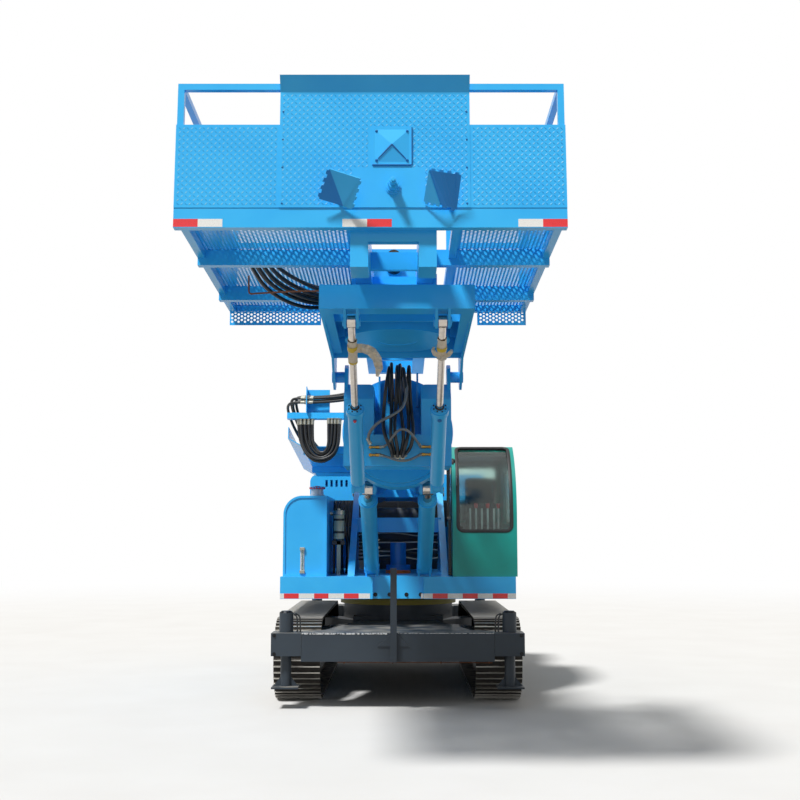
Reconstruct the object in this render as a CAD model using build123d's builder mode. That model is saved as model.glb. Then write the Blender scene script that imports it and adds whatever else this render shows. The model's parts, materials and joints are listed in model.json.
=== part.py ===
from build123d import *
import os
from math import atan2, cos, degrees, hypot, pi, radians, sin, tan

# Anchor drilling rig on tracks, in millimetres.
# The origin is on the ground below the slewing axis. +X is the cab's side,
# -Y is the way the boom points, +Z is up.

os.makedirs("parts", exist_ok=True)

# Clearances
RUN = 0.3        # radial gap of a pin or shaft in its bore
FREE = 6.0       # gap between faces that pass each other

# Tracks
GAUGE_X = 975.0          # middle of a track from the centre line
SHOE_W = 450.0
TRACK_R = 375.0          # outside of the shoe plates at the wheels
LUG_H = 20.0
LUG_PITCH = 57.0
WHEEL_Y = 1385.0         # idler and sprocket from the middle
SHOE_T = 12.0
CHAIN_W = 160.0
CHAIN_T = 63.0

# Track frames and car body
FRAME_W = 240.0
FRAME_Z0 = 250.0
FRAME_Z1 = 500.0
SKIRT_T = 15.0
ROLLER_R = 75.0
ROLLER_COUNT = 7
CARRIER_R = 50.0
CARRIER_Y = 500.0
LEG_Z0 = 400.0
LEG_Z1 = 640.0
RING_R = 640.0
RING_SEAT_Z = 860.0
DECK_Z0 = 970.0

# Jacks
BEAM_Y0 = 1930.0
BEAM_Y1 = 2180.0
BEAM_Z0 = 440.0
BEAM_Z1 = 700.0
BEAM_X = 900.0
BEAM_T = 12.0
JACK_X = 1050.0
JACK_Y = 2050.0
JACK_TUBE_R = 66.0
JACK_LEG_R = 50.0
JACK_TOP_Z = 880.0
JACK_END_X = 1180.0
FOOT_Z = 190.0
FOOT_W = 250.0
POST_X = -40.0
POST_W = 60.0
POST_Z1 = 1300.0
LASH_X = 420.0
LASH_Y = 2235.0
LASH_Z = 570.0
LASH_T = 30.0
LASH_R = 50.0
LASH_HOLE_R = 26.0

# Slewing deck
DECK_Z1 = 1190.0
DECK_X = 1180.0
DECK_FRONT = -1400.0
DECK_REAR = 1500.0
DECK_T = 12.0
NOTCH_X = 255.0
NOTCH_D = 60.0
SUPPORT_X = 475.0
SUPPORT_T = 20.0
FLANGE_W = 70.0
PIVOT_Y = 550.0
PIVOT_Z = 2100.0
PIVOT_R = 45.0
TAIL_R = 2080.0

# Boom
BOOM_PITCH = 5.9
TUBE_X = 235.0
TUBE_R = 130.0
TUBE_T = 19.0
OUTER_LEN = 3460.0
COLLAR_T = 40.0
INNER_START = 500.0
TELE_R = 60.0
TELE_ROD_R = 35.0
DRUM_R = 475.0
DRUM_T = 180.0
DRUM_START = OUTER_LEN + 140.0
SPIGOT_R = 150.0

# Hose tray on the boom's right side
TRAY_X = (-1090.0, -420.0)
TRAY_UP = 140.0
TRAY_T = 8.0
TRAY_Z = (300.0, 2250.0)
TRAY_ARMS = (950.0, 2120.0)
ARM_UP = (410.0, 470.0)
ARM_Z = (2260.0, 2340.0)
BRACKET_X = (-905.0, -680.0)
BRACKET_TOP = 720.0
BRACKET_Z = (2240.0, 2400.0)
MANIFOLD_UP = 200.0
MANIFOLD_Z = (2060.0, 2240.0)

# Luffing cylinders
LUFF_X = 265.0
LUFF_BASE = (-1300.0, 1270.0)
LUFF_EYE_DROP = 439.3     # eye pin below the boom's axis
LUFF_EYE_OUT = 13.2       # eye pin beyond the outer boom's end
LUFF_R = 75.0
LUFF_ROD_R = 40.0
LUFF_SHOW = 150.0          # length of rod that shows at rest
EYE_R = 62.0
EYE_T = 90.0
PIN_R = 32.0

# Drill head bracket and tilting cylinders. The face is the middle of the drum's front
CHEEK_X0 = 190.0
CHEEK_X1 = 430.0
CHEEK_CORNER = 38.0
HEAD_LOW = -328.6
HEAD_TOP = 341.4
HEAD_OUT = 710.0
FACE_Y = PIVOT_Y - (DRUM_START + DRUM_T) * cos(radians(BOOM_PITCH))
FACE_Z = PIVOT_Z + (DRUM_START + DRUM_T) * sin(radians(BOOM_PITCH))
TILT_PIVOT = (FACE_Y - 490.0, FACE_Z + 411.4)
TILT_X = 310.0
TILT_BASE = (FACE_Y - 770.0, FACE_Z - 498.6)
TILT_R = 55.0
TILT_ROD_R = 25.0
TILT_BARREL = 920.0
TILT_EYE_R = 42.0
TILT_EYE_T = 56.0
ROD_IN = 90.0

# Tilting frame, in the plane of the mast: across, back from the swing axis, up
MAST_PITCH = 3.2
SWING_Y = FACE_Y - 1190.0
SWING_Z = FACE_Z + 747.4
FRAME_X = 525.0
FRONT_BEAM = (-1080.0, -920.0)
FRONT_BEAM_H = 165.0
TILT_EYE = (-980.0, -232.0)
TILT_PLATE_T = 20.0
SWING_R = 400.0
SLED_T = 40.0

# Mast and platform, in the same plane
MAST_X = -20.0
RAIL_W = 110.0
RAIL_GAP = 310.0
RAIL_Z0 = 70.0
RAIL_Z1 = 300.0
MAST_REAR = 2480.0
RAIL_WALL = 12.0
DRILL_X = -30.0
DRILL_Z = 658.0
PLAT_X0 = -1360.0
PLAT_X1 = 1040.0
PLAT_FRONT = -1883.0
PLAT_LEN = 2470.0
PLAT_BEAM_W = 60.0
MAST_FRONT = PLAT_FRONT + PLAT_BEAM_W
PLAT_BEAM_Z0 = 140.0
PLAT_FLOOR_Z = 265.0
FLOOR_LEFT_X = -300.0
FLOOR_RIGHT_X = 400.0
FLOOR_T = 5.0
CROSS_AT = (870.0, 1820.0)
SKIRTS_X = ((PLAT_X0, -620.0), (646.0, PLAT_X1))
SKIRT_H = 168.0
SKIRT_PLATE_T = 4.0
FLANGE_H = 88.0
FLANGE_OUT = 56.0
COVER_W = 240.0
COVER_T = 3.0
COVER_H = 30.0
COVER_FOOT = 15.0
CLAW_T = 8.0
CLAW_OUT = PLAT_FRONT - 176.0
CLAW_IN = PLAT_FRONT - 22.0
TOOTH_H = 12.0
TOOTH_PITCH = 34.0
TANK_RIM_W = 22.0
TANK_RIM_T = 10.0
SIDE_PLATE_Z = 798.0
MID_PLATE_Z = 1098.0
MID_PLATE_X = (-720.0, 450.0)
TOP_RAIL_Z = 1048.0
RAIL_TUBE = 40.0
PANEL_T = 4.0

# Cab
CAB_X0 = 550.0
CAB_X1 = 1200.0
CAB_Y0 = -1380.0
CAB_Y1 = 100.0
CAB_Z1 = 2540.0
CAB_WALL = 40.0
GLASS_T = 6.0
DOOR_Y = (-1130.0, -250.0)
DOOR_Z = (1250.0, 2360.0)
DOOR_GAP = 6.0

# The luffing cylinder's eye, as (y, z)
LUFF_EYE = (
    PIVOT_Y - (OUTER_LEN + LUFF_EYE_OUT) * cos(radians(BOOM_PITCH)) - LUFF_EYE_DROP * sin(radians(BOOM_PITCH)),
    PIVOT_Z + (OUTER_LEN + LUFF_EYE_OUT) * sin(radians(BOOM_PITCH)) - LUFF_EYE_DROP * cos(radians(BOOM_PITCH)),
)

# Frames: each is a plane whose own X, Y and Z its parts are placed by
GROUND = Plane.XY
BOOM = Plane(
    origin=(0, PIVOT_Y, PIVOT_Z),
    x_dir=(1, 0, 0),
    z_dir=(0, -cos(radians(BOOM_PITCH)), sin(radians(BOOM_PITCH))),
)
MAST = Plane(
    origin=(0, SWING_Y, SWING_Z),
    x_dir=(1, 0, 0),
    z_dir=(0, sin(radians(MAST_PITCH)), cos(radians(MAST_PITCH))),
)


def within(frame, plane):
    """A plane that is given in a frame's own axes."""
    return Plane(frame.location * plane.location)


def block(x, y, z, frame=GROUND, mode=Mode.ADD):
    """A box between pairs of coordinates."""
    middle = ((x[0] + x[1]) / 2, (y[0] + y[1]) / 2, (z[0] + z[1]) / 2)
    with Locations(frame.location * Location(middle)):
        Box(abs(x[1] - x[0]), abs(y[1] - y[0]), abs(z[1] - z[0]), mode=mode)


def side_plate(outline, x, frame=GROUND, mode=Mode.ADD):
    """A plate across X, from an outline of (y, z) points."""
    with BuildSketch(within(frame, Plane.YZ.offset(x[0]))) as profile:
        with BuildLine():
            Polyline(*outline, close=True)
        make_face()
    extrude(profile.sketch, amount=x[1] - x[0], mode=mode)


def plan_plate(outline, z, frame=GROUND, mode=Mode.ADD):
    """A plate across Z, from an outline of (x, y) points."""
    with BuildSketch(within(frame, Plane.XY.offset(z[0]))) as profile:
        with BuildLine():
            Polyline(*outline, close=True)
        make_face()
    extrude(profile.sketch, amount=z[1] - z[0], mode=mode)


def rod_x(y, z, r, x, frame=GROUND, mode=Mode.ADD):
    """A round bar along X."""
    with BuildSketch(within(frame, Plane.YZ.offset(x[0]))) as profile:
        with Locations((y, z)):
            Circle(r)
    extrude(profile.sketch, amount=x[1] - x[0], mode=mode)


def rod_z(x, y, r, z, frame=GROUND, mode=Mode.ADD):
    """A round bar along Z."""
    with BuildSketch(within(frame, Plane.XY.offset(z[0]))) as profile:
        with Locations((x, y)):
            Circle(r)
    extrude(profile.sketch, amount=z[1] - z[0], mode=mode)


def rod_y(x, z, r, y, frame=GROUND, mode=Mode.ADD):
    """A round bar along Y."""
    with BuildSketch(within(frame, Plane.XZ.offset(-y[0]))) as profile:
        with Locations((x, z)):
            Circle(r)
    extrude(profile.sketch, amount=-(y[1] - y[0]), mode=mode)


def hollow_bar(x, y, z, wall, along, frame=GROUND):
    """A square tube between pairs of coordinates, open at the ends of one axis."""
    block(x, y, z, frame)
    inner = []
    for axis, span in zip("xyz", (x, y, z)):
        trim = 0 if axis == along else wall
        inner.append((min(span) + trim, max(span) - trim))
    block(*inner, frame, Mode.SUBTRACT)


def save(piece, name):
    piece.label = name
    export_step(piece, f"parts/{name}.step")


# Where the two pins of a cylinder lie, as (y, z) on the ground frame
def in_ground(frame, y, z):
    point = frame.from_local_coords((0, y, z))
    return (point.Y, point.Z)


TILT_TOP = in_ground(MAST, *TILT_EYE)


def cylinder_plane(base, eye):
    """A plane at the base pin whose Z runs to the eye, with X across."""
    run = Vector(0, eye[0] - base[0], eye[1] - base[1])
    return Plane(origin=(0, base[0], base[1]), x_dir=(1, 0, 0), z_dir=run)


LUFF = cylinder_plane(LUFF_BASE, LUFF_EYE)
TILT = cylinder_plane(TILT_BASE, TILT_TOP)
LUFF_LEN = hypot(LUFF_EYE[0] - LUFF_BASE[0], LUFF_EYE[1] - LUFF_BASE[1])
TILT_LEN = hypot(TILT_TOP[0] - TILT_BASE[0], TILT_TOP[1] - TILT_BASE[1])

# Tracks: one closed loop of shoes with three lugs each, on its chain
AXLE_Z = TRACK_R + LUG_H
HALF_LOOP = 2 * WHEEL_Y + pi * TRACK_R
LUG_COUNT = 2 * round(HALF_LOOP / LUG_PITCH)
LUG_FOOT = 18.0
LUG_TIP = 9.0


def loop_point(along, out):
    """A point of the loop: distance along the shoes, height above them."""
    along = along % (2 * HALF_LOOP)
    side = 1 if along < HALF_LOOP else -1
    along = along % HALF_LOOP
    if along < 2 * WHEEL_Y:
        return (side * (along - WHEEL_Y), AXLE_Z - side * (TRACK_R + out))
    turn = (along - 2 * WHEEL_Y) / TRACK_R
    y = WHEEL_Y + (TRACK_R + out) * sin(turn)
    return (side * y, AXLE_Z - side * (TRACK_R + out) * cos(turn))


shoe_outline = []
for lug in range(LUG_COUNT):
    middle = (lug + 0.5) * 2 * HALF_LOOP / LUG_COUNT
    for shift, out in ((-LUG_FOOT, 0), (-LUG_TIP, LUG_H), (LUG_TIP, LUG_H), (LUG_FOOT, 0)):
        shoe_outline.append(loop_point(middle + shift / 2, out))

LINK_STEPS = 14
LINK_FLAT = cos(pi / 2 / LINK_STEPS)
WHEEL_R = (TRACK_R - SHOE_T - CHAIN_T) * LINK_FLAT - RUN
WHEEL_W = 120.0
ROLLER_Z = LUG_H + SHOE_T + CHAIN_T + ROLLER_R + RUN
CARRIER_Z = 2 * AXLE_Z - LUG_H - SHOE_T - CHAIN_T - CARRIER_R - RUN
ROLLER_PITCH = 285.0
DRIVE_R = 185.0


def link_loop(r):
    """The loop at a radius inside the shoes, with flat links round the wheels."""
    loop = []
    for side in (1, -1):
        for step in range(LINK_STEPS + 1):
            turn = pi * step / LINK_STEPS
            loop.append((side * (WHEEL_Y + r * sin(turn)), AXLE_Z - side * r * cos(turn)))
    return loop


with BuildPart() as tracks:
    for x_mid in (-GAUGE_X, GAUGE_X):
        shoes_x = (x_mid - SHOE_W / 2, x_mid + SHOE_W / 2)
        chain_x = (x_mid - CHAIN_W / 2, x_mid + CHAIN_W / 2)
        side_plate(shoe_outline, shoes_x)
        side_plate(link_loop(TRACK_R - SHOE_T), shoes_x, mode=Mode.SUBTRACT)
        side_plate(link_loop(TRACK_R - SHOE_T), chain_x)
        side_plate(link_loop(TRACK_R - SHOE_T - CHAIN_T), chain_x, mode=Mode.SUBTRACT)
save(tracks.part, "tracks")

# Idlers, sprockets and rollers inside the loops
with BuildPart() as wheels:
    inner_w = FRAME_W - 2 * SKIRT_T - 1
    for x_mid in (-GAUGE_X, GAUGE_X):
        for y in (-WHEEL_Y, WHEEL_Y):
            rod_x(y, AXLE_Z, WHEEL_R, (x_mid - WHEEL_W / 2, x_mid + WHEEL_W / 2))
        for index in range(ROLLER_COUNT):
            y = (index - (ROLLER_COUNT - 1) / 2) * ROLLER_PITCH
            rod_x(y, ROLLER_Z, ROLLER_R, (x_mid - inner_w / 2, x_mid + inner_w / 2))
        for y in (-CARRIER_Y, CARRIER_Y):
            rod_x(y, CARRIER_Z, CARRIER_R, (x_mid - WHEEL_W / 2, x_mid + WHEEL_W / 2))
save(wheels.part, "track_wheels")

# Side frames: box, skirts that hold the rollers, idler fork and final drive
SKIRT_OUTLINE = [(-1120, ROLLER_Z - 40), (1120, ROLLER_Z - 40), (1240, 300), (WHEEL_Y, 300),
                 (WHEEL_Y, 490), (1080, 490), (-1080, 490), (-1120, 330)]
YOKE_Y = (-1065.0, -1005.0)
with BuildPart() as side_frames:
    for x_mid in (-GAUGE_X, GAUGE_X):
        low_x = x_mid - FRAME_W / 2
        hollow_bar((low_x, low_x + FRAME_W), (-1080, 1080), (FRAME_Z0, FRAME_Z1), SKIRT_T, "y")
        for low in (low_x, low_x + FRAME_W - SKIRT_T):
            side_plate(SKIRT_OUTLINE, (low, low + SKIRT_T))
        block((low_x + SKIRT_T, low_x + FRAME_W - SKIRT_T), YOKE_Y, (AXLE_Z - 60, AXLE_Z + 60))
        for side in (-1, 1):
            near = x_mid + side * (WHEEL_W / 2 + 1)
            fork_x = (near, near + side * SKIRT_T)
            block(fork_x, (-WHEEL_Y - 75, YOKE_Y[0]), (AXLE_Z - 60, AXLE_Z + 60))
            for y in (-CARRIER_Y, CARRIER_Y):
                block(fork_x, (y - 40, y + 40), (FRAME_Z1, CARRIER_Z + 15))
            rod_x(WHEEL_Y, AXLE_Z, DRIVE_R, (x_mid + side * (WHEEL_W / 2 + 0.5), x_mid + side * 190))
save(side_frames.part, "track_frames")

# Car body: a box with four legs to the track frames and the seat of the slewing ring
LEG_END_X = GAUGE_X - FRAME_W / 2
with BuildPart() as car_body:
    block((-480, 480), (-560, 560), (LEG_Z0, LEG_Z1 + 100))
    block((-440, 440), (-520, 520), (LEG_Z0 - 1, LEG_Z1 + 60), mode=Mode.SUBTRACT)
    for sx, sy in ((1, 1), (1, -1), (-1, 1), (-1, -1)):
        leg = [(sx * 470, sy * 200), (sx * LEG_END_X, sy * 620), (sx * LEG_END_X, sy * 960),
               (sx * 400, sy * 555)]
        plan_plate(leg, (LEG_Z0 + 20, LEG_Z1))
    rod_z(0, 0, 600, (LEG_Z1 + 60, RING_SEAT_Z))
    rod_z(0, 0, 480, (LEG_Z1 + 99, RING_SEAT_Z + 1), mode=Mode.SUBTRACT)
save(car_body.part, "car_body")

# Slewing ring: outer race on the car body, inner race under the deck
with BuildPart() as ring_lower:
    rod_z(0, 0, RING_R, (RING_SEAT_Z, RING_SEAT_Z + 52))
    rod_z(0, 0, 540, (RING_SEAT_Z, RING_SEAT_Z + 52), mode=Mode.SUBTRACT)
save(ring_lower.part, "slew_ring_outer")
with BuildPart() as ring_upper:
    rod_z(0, 0, RING_R - 10, (RING_SEAT_Z + 52 + FREE, DECK_Z0))
    rod_z(0, 0, 540 - RUN, (RING_SEAT_Z + 4, DECK_Z0))
    rod_z(0, 0, 470, (RING_SEAT_Z + 4, DECK_Z0), mode=Mode.SUBTRACT)
save(ring_upper.part, "slew_ring_inner")

# Jack frames: cross beams with a tongue to the car body, a tube at each end, and a post in front
with BuildPart() as jack_frames:
    for way in (-1, 1):
        beam_y = (way * BEAM_Y0, way * BEAM_Y1)
        hollow_bar((-BEAM_X, BEAM_X), beam_y, (BEAM_Z0, BEAM_Z1), BEAM_T, "x")
        tongue = [(-BEAM_X, way * BEAM_Y0), (BEAM_X, way * BEAM_Y0), (700, way * 1800), (390, way * 561),
                  (-390, way * 561), (-700, way * 1800)]
        plan_plate(tongue, (BEAM_Z0 + 120, BEAM_Z1))
        plan_plate([(x * 0.94, y) for x, y in tongue], (BEAM_Z0 + 119, BEAM_Z1 - BEAM_T), mode=Mode.SUBTRACT)
        for side in (-1, 1):
            block((side * BEAM_X, side * JACK_END_X), beam_y, (BEAM_Z0 + 50, BEAM_Z1))
            rod_z(side * JACK_X, way * JACK_Y, JACK_TUBE_R, (BEAM_Z0 + 50, JACK_TOP_Z))
            rod_z(side * JACK_X, way * JACK_Y, JACK_LEG_R + RUN, (BEAM_Z0, JACK_TOP_Z - 20), mode=Mode.SUBTRACT)
    for side in (-1, 1):
        inner = side * LASH_X
        eye = [(BEAM_Y1 - 1, BEAM_Z0 + 40), (LASH_Y, LASH_Z - LASH_R), (LASH_Y + LASH_R, LASH_Z),
               (LASH_Y, LASH_Z + LASH_R), (BEAM_Y1 - 1, BEAM_Z1 - 40)]
        side_plate(eye, (inner, inner + side * LASH_T))
        rod_x(LASH_Y, LASH_Z, LASH_HOLE_R, (inner - side, inner + side * (LASH_T + 1)), mode=Mode.SUBTRACT)
    block((POST_X - POST_W / 2, POST_X + POST_W / 2), (-BEAM_Y1 - POST_W, -BEAM_Y1), (BEAM_Z0, POST_Z1))
    for side in (-1, 1):
        x = POST_X + side * POST_W / 2
        with BuildSketch(Plane.XZ.offset(BEAM_Y1)) as gusset:
            with BuildLine():
                Polyline((x, BEAM_Z0 + 140), (x + side * 120, BEAM_Z0 + 140), (x, BEAM_Z0 + 250), close=True)
            make_face()
        extrude(gusset.sketch, amount=12)
save(jack_frames.part, "jack_frames")

# Jack legs with a folded foot, each free to slide down out of its tube
FOOT_T = 16.0
FOOT_RIB_H = 100.0
for way, place in ((-1, "front"), (1, "rear")):
    for side, flank in ((-1, "right"), (1, "left")):
        x_mid = side * JACK_X
        y_mid = way * JACK_Y
        with BuildPart() as leg:
            rod_z(x_mid, y_mid, JACK_LEG_R, (FOOT_Z + 10, JACK_TOP_Z - 30))
            foot_y = (y_mid - FOOT_W / 2, y_mid + FOOT_W / 2)
            block((x_mid - FOOT_W / 2, x_mid + FOOT_W / 2), foot_y, (FOOT_Z, FOOT_Z + FOOT_T))
            for sway in (-1, 1):
                near = x_mid + sway * JACK_LEG_R * 0.7
                far = x_mid + sway * (FOOT_W / 2 - 10)
                low = FOOT_Z + FOOT_T
                with BuildSketch(Plane.XZ.offset(-y_mid + 6)) as rib:
                    with BuildLine():
                        Polyline((near, low), (far, low), (near, low + FOOT_RIB_H), close=True)
                    make_face()
                extrude(rib.sketch, amount=-12)
        save(leg.part, f"jack_leg_{place}_{flank}")

# Deck: a frame that is open below, with a recess in its front and the luffing cylinders' brackets
with BuildPart() as deck:
    outline = [(-DECK_X, DECK_FRONT), (-NOTCH_X, DECK_FRONT), (-NOTCH_X, DECK_FRONT + NOTCH_D),
               (NOTCH_X, DECK_FRONT + NOTCH_D), (NOTCH_X, DECK_FRONT), (DECK_X, DECK_FRONT),
               (DECK_X, DECK_REAR), (-DECK_X, DECK_REAR)]
    plan_plate(outline, (DECK_Z0, DECK_Z1))
    inner_x = SUPPORT_X + 40
    for x in ((-DECK_X + DECK_T, -inner_x), (inner_x, DECK_X - DECK_T)):
        for y in ((DECK_FRONT + DECK_T, -640), (-628, 640), (652, DECK_REAR - DECK_T)):
            block(x, y, (DECK_Z0, DECK_Z1 - DECK_T), mode=Mode.SUBTRACT)
    for y in ((DECK_FRONT + NOTCH_D + DECK_T, -660), (660, DECK_REAR - DECK_T)):
        block((-inner_x + DECK_T, inner_x - DECK_T), y, (DECK_Z0, DECK_Z1 - 2 * DECK_T), mode=Mode.SUBTRACT)
    block((-440, 440), (-440, 440), (DECK_Z0, DECK_Z1 - 3 * DECK_T), mode=Mode.SUBTRACT)
    base_y, base_z = LUFF_BASE
    for side in (-1, 1):
        for shift in (-1, 1):
            inner = side * LUFF_X + shift * (EYE_T / 2 + 1)
            ear = [(base_y + 120, DECK_Z1), (base_y - 38, DECK_Z1), (base_y - 60, base_z - 10),
                   (base_y - 45, base_z + 50), (base_y + 45, base_z + 50)]
            side_plate(ear, (inner, inner + shift * 20))
            rod_x(base_y, base_z, PIN_R + 12, (inner + shift * 20, inner + shift * 30))
        rod_x(base_y, base_z, PIN_R, (side * LUFF_X - EYE_T / 2 - 2, side * LUFF_X + EYE_T / 2 + 2))
save(deck.part, "deck")

# Boom support: two side plates with a flange down their front, and a cross beam
with BuildPart() as support:
    cheek = [(-1300, DECK_Z1), (900, DECK_Z1), (PIVOT_Y + 170, PIVOT_Z - 60), (PIVOT_Y + 110, PIVOT_Z + 110),
             (PIVOT_Y - 60, PIVOT_Z + 130), (PIVOT_Y - 160, PIVOT_Z + 40)]
    front_run = hypot(PIVOT_Y - 160 + 1300, PIVOT_Z + 40 - DECK_Z1)
    lean = degrees(atan2(PIVOT_Z + 40 - DECK_Z1, PIVOT_Y - 160 + 1300))
    for side in (-1, 1):
        x0 = side * SUPPORT_X - SUPPORT_T / 2
        side_plate(cheek, (x0, x0 + SUPPORT_T))
        rod_x(PIVOT_Y, PIVOT_Z, 90, (side * SUPPORT_X - 22, side * SUPPORT_X + 22))
        flange = [(-1300, DECK_Z1), (-1285, DECK_Z1), (PIVOT_Y - 145, PIVOT_Z + 40), (PIVOT_Y - 160, PIVOT_Z + 40)]
        side_plate(flange, (side * SUPPORT_X - FLANGE_W / 2, side * SUPPORT_X + FLANGE_W / 2))
    hollow_bar((-SUPPORT_X, SUPPORT_X), (-260, -140), (1630, 1790), 10, "x")
    for side in (-1, 1):
        rod_x(PIVOT_Y, PIVOT_Z, PIVOT_R + RUN, (side * 440, side * 520), mode=Mode.SUBTRACT)
save(support.part, "boom_support")

# Hydraulic tank with a large rounded outer corner
TANK_X = (-1160.0, -720.0)
TANK_Y = (-1330.0, 150.0)
TANK_Z = 2000.0
TANK_CORNER = 190.0
with BuildPart() as tank:
    with BuildSketch(Plane.XZ.offset(-TANK_Y[0])) as tank_face:
        with BuildLine():
            Line((TANK_X[0], DECK_Z1), (TANK_X[1], DECK_Z1))
            Line((TANK_X[1], DECK_Z1), (TANK_X[1], TANK_Z))
            Line((TANK_X[1], TANK_Z), (TANK_X[0] + TANK_CORNER, TANK_Z))
            RadiusArc((TANK_X[0] + TANK_CORNER, TANK_Z), (TANK_X[0], TANK_Z - TANK_CORNER), -TANK_CORNER)
            Line((TANK_X[0], TANK_Z - TANK_CORNER), (TANK_X[0], DECK_Z1))
        make_face()
    extrude(amount=-(TANK_Y[1] - TANK_Y[0]))
    with BuildSketch(Plane.XZ.offset(-TANK_Y[0])) as rim:
        add(tank_face.sketch)
        offset(tank_face.sketch, amount=-TANK_RIM_W, mode=Mode.SUBTRACT)
    extrude(rim.sketch, amount=TANK_RIM_T)
    rod_z(-830, -1180, 62, (TANK_Z, TANK_Z + 70))
    rod_z(-830, -1180, 75, (TANK_Z + 70, TANK_Z + 95))
save(tank.part, "hydraulic_tank")

# Rear housing: side panels up to the hood, with the hood as a shell on top
HOOD_Y = (850.0, 1640.0)
HOOD_X = (-1060.0, 1060.0)
HOOD_Z = (2010.0, 2320.0)
HOOD_R = 90.0
LOUVRE_W = 27.0
LOUVRE_PITCH = 60.0
LOUVRE_Z = (2172.0, 2252.0)
LOUVRES = ((-876.0, 5), (-150.0, 5), (609.0, 5))   # first x and count of each group
with BuildPart() as hood:
    block(HOOD_X, HOOD_Y, HOOD_Z)
    long_edges = hood.edges().filter_by(Axis.Y).group_by(Axis.Z)[-1]
    fillet(long_edges, HOOD_R)
    block((HOOD_X[0] + 10, HOOD_X[1] - 10), (HOOD_Y[0] + 10, HOOD_Y[1] - 10), (HOOD_Z[0], HOOD_Z[1] - 60),
          mode=Mode.SUBTRACT)
    for first_x, count in LOUVRES:
        for index in range(count):
            x = first_x + index * LOUVRE_PITCH
            block((x, x + LOUVRE_W), (HOOD_Y[0] - 5, HOOD_Y[0] + 15), LOUVRE_Z, mode=Mode.SUBTRACT)
save(hood.part, "engine_hood")

with BuildPart() as panels:
    for side in (-1, 1):
        block((side * 1040, side * 1060), (200, DECK_REAR), (DECK_Z1, HOOD_Z[0]))
    block((-1040, 1040), (HOOD_Y[0], HOOD_Y[0] + 12), (DECK_Z1 + 500, HOOD_Z[0]))
save(panels.part, "engine_side_panels")

with BuildPart() as engine:
    block((-620, 520), (950, 1450), (DECK_Z1, 1900))
save(engine.part, "engine_block")

# Counterweight: an arc about the slewing axis
with BuildPart() as weight:
    with BuildSketch(Plane.XY.offset(DECK_Z0 + 30)):
        Circle(TAIL_R)
        with Locations((0, HOOD_Y[1] + 5 - 3000)):
            Rectangle(6000, 6000, mode=Mode.SUBTRACT)
    extrude(amount=900)
    block((-DECK_X, DECK_X), (DECK_REAR, HOOD_Y[1] + 10), (DECK_Z0 + 30, DECK_Z1 + 300))
save(weight.part, "counterweight")

# Slewing motor, air cleaner and return filter
with BuildPart() as swing_motor:
    rod_z(0, -420, 130, (DECK_Z1, DECK_Z1 + 90))
    rod_z(0, -420, 85, (DECK_Z1 + 90, DECK_Z1 + 330))
save(swing_motor.part, "slewing_motor")
with BuildPart() as cleaner:
    rod_x(430, 1820, 90, (-330, 330))
    block((-280, -240), (400, 460), (DECK_Z1, 1760))
    block((240, 280), (400, 460), (DECK_Z1, 1760))
save(cleaner.part, "air_cleaner")
with BuildPart() as filter_can:
    rod_z(-620, -900, 55, (1560, 1850))
    block((-640, -600), (-930, -870), (DECK_Z1, 1562))
save(filter_can.part, "return_filter")

# Cab: a hollow shell with a curved front, window openings and a door opening
CAB_Z0 = DECK_Z1
HINGE_X = CAB_X1 + 14
HINGE_Y = DOOR_Y[1] - 3
HINGE_Z = (1400.0, 2200.0)
KNUCKLE_R = 12.0
DOOR_PIN_R = 6.0


def cab_outline(inset):
    """The side outline of the cab, moved in by a distance."""
    with BuildSketch(Plane.YZ) as outline:
        with BuildLine():
            Polyline((CAB_Y1, CAB_Z0), (CAB_Y0, CAB_Z0), (CAB_Y0, 1760))
            ThreePointArc((CAB_Y0, 1760), (CAB_Y0 + 110, 2210), (CAB_Y0 + 420, CAB_Z1 - 20))
            Polyline((CAB_Y0 + 420, CAB_Z1 - 20), (CAB_Y0 + 800, CAB_Z1), (CAB_Y1, CAB_Z1 - 60), (CAB_Y1, CAB_Z0))
        make_face()
        if inset:
            offset(amount=-inset)
    return outline.sketch


cab_outer = cab_outline(0)
cab_inner = cab_outline(CAB_WALL)
pane_outer = cab_outline(CAB_WALL / 2 - GLASS_T / 2)
pane_inner = cab_outline(CAB_WALL / 2 + GLASS_T / 2)
SCREEN_X = (CAB_X0 + 60, CAB_X1 - 60)
SCREEN_Y = (CAB_Y0 - 10, CAB_Y0 + 400)
SCREEN_Z = (1650.0, CAB_Z1 + 10)
REAR_X = (CAB_X0 + 90, CAB_X1 - 90)
REAR_Z = (1760.0, 2360.0)
LEFT_Y = (CAB_Y0 + 200, CAB_Y1 - 160)
LEFT_Z = (1760.0, 2380.0)
with BuildPart() as cab:
    extrude(Pos(CAB_X0, 0, 0) * cab_outer, amount=CAB_X1 - CAB_X0, dir=(1, 0, 0))
    extrude(Pos(CAB_X0 + CAB_WALL, 0, 0) * cab_inner, amount=CAB_X1 - CAB_X0 - 2 * CAB_WALL, dir=(1, 0, 0),
            mode=Mode.SUBTRACT)
    block(SCREEN_X, SCREEN_Y, SCREEN_Z, mode=Mode.SUBTRACT)
    block(REAR_X, (CAB_Y1 - CAB_WALL - 5, CAB_Y1 + 5), REAR_Z, mode=Mode.SUBTRACT)
    block((CAB_X0 - 5, CAB_X0 + CAB_WALL + 5), LEFT_Y, LEFT_Z, mode=Mode.SUBTRACT)
    block((CAB_X1 - CAB_WALL - 5, CAB_X1 + 5), DOOR_Y, DOOR_Z, mode=Mode.SUBTRACT)
    for z in HINGE_Z:
        rod_z(HINGE_X, HINGE_Y, DOOR_PIN_R, (z - 14, z + 74))
        for low in (z - 14, z + 62):
            block((CAB_X1, HINGE_X), (HINGE_Y - 6, HINGE_Y + 40), (low, low + 12))
save(cab.part, "cab_shell")

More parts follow.
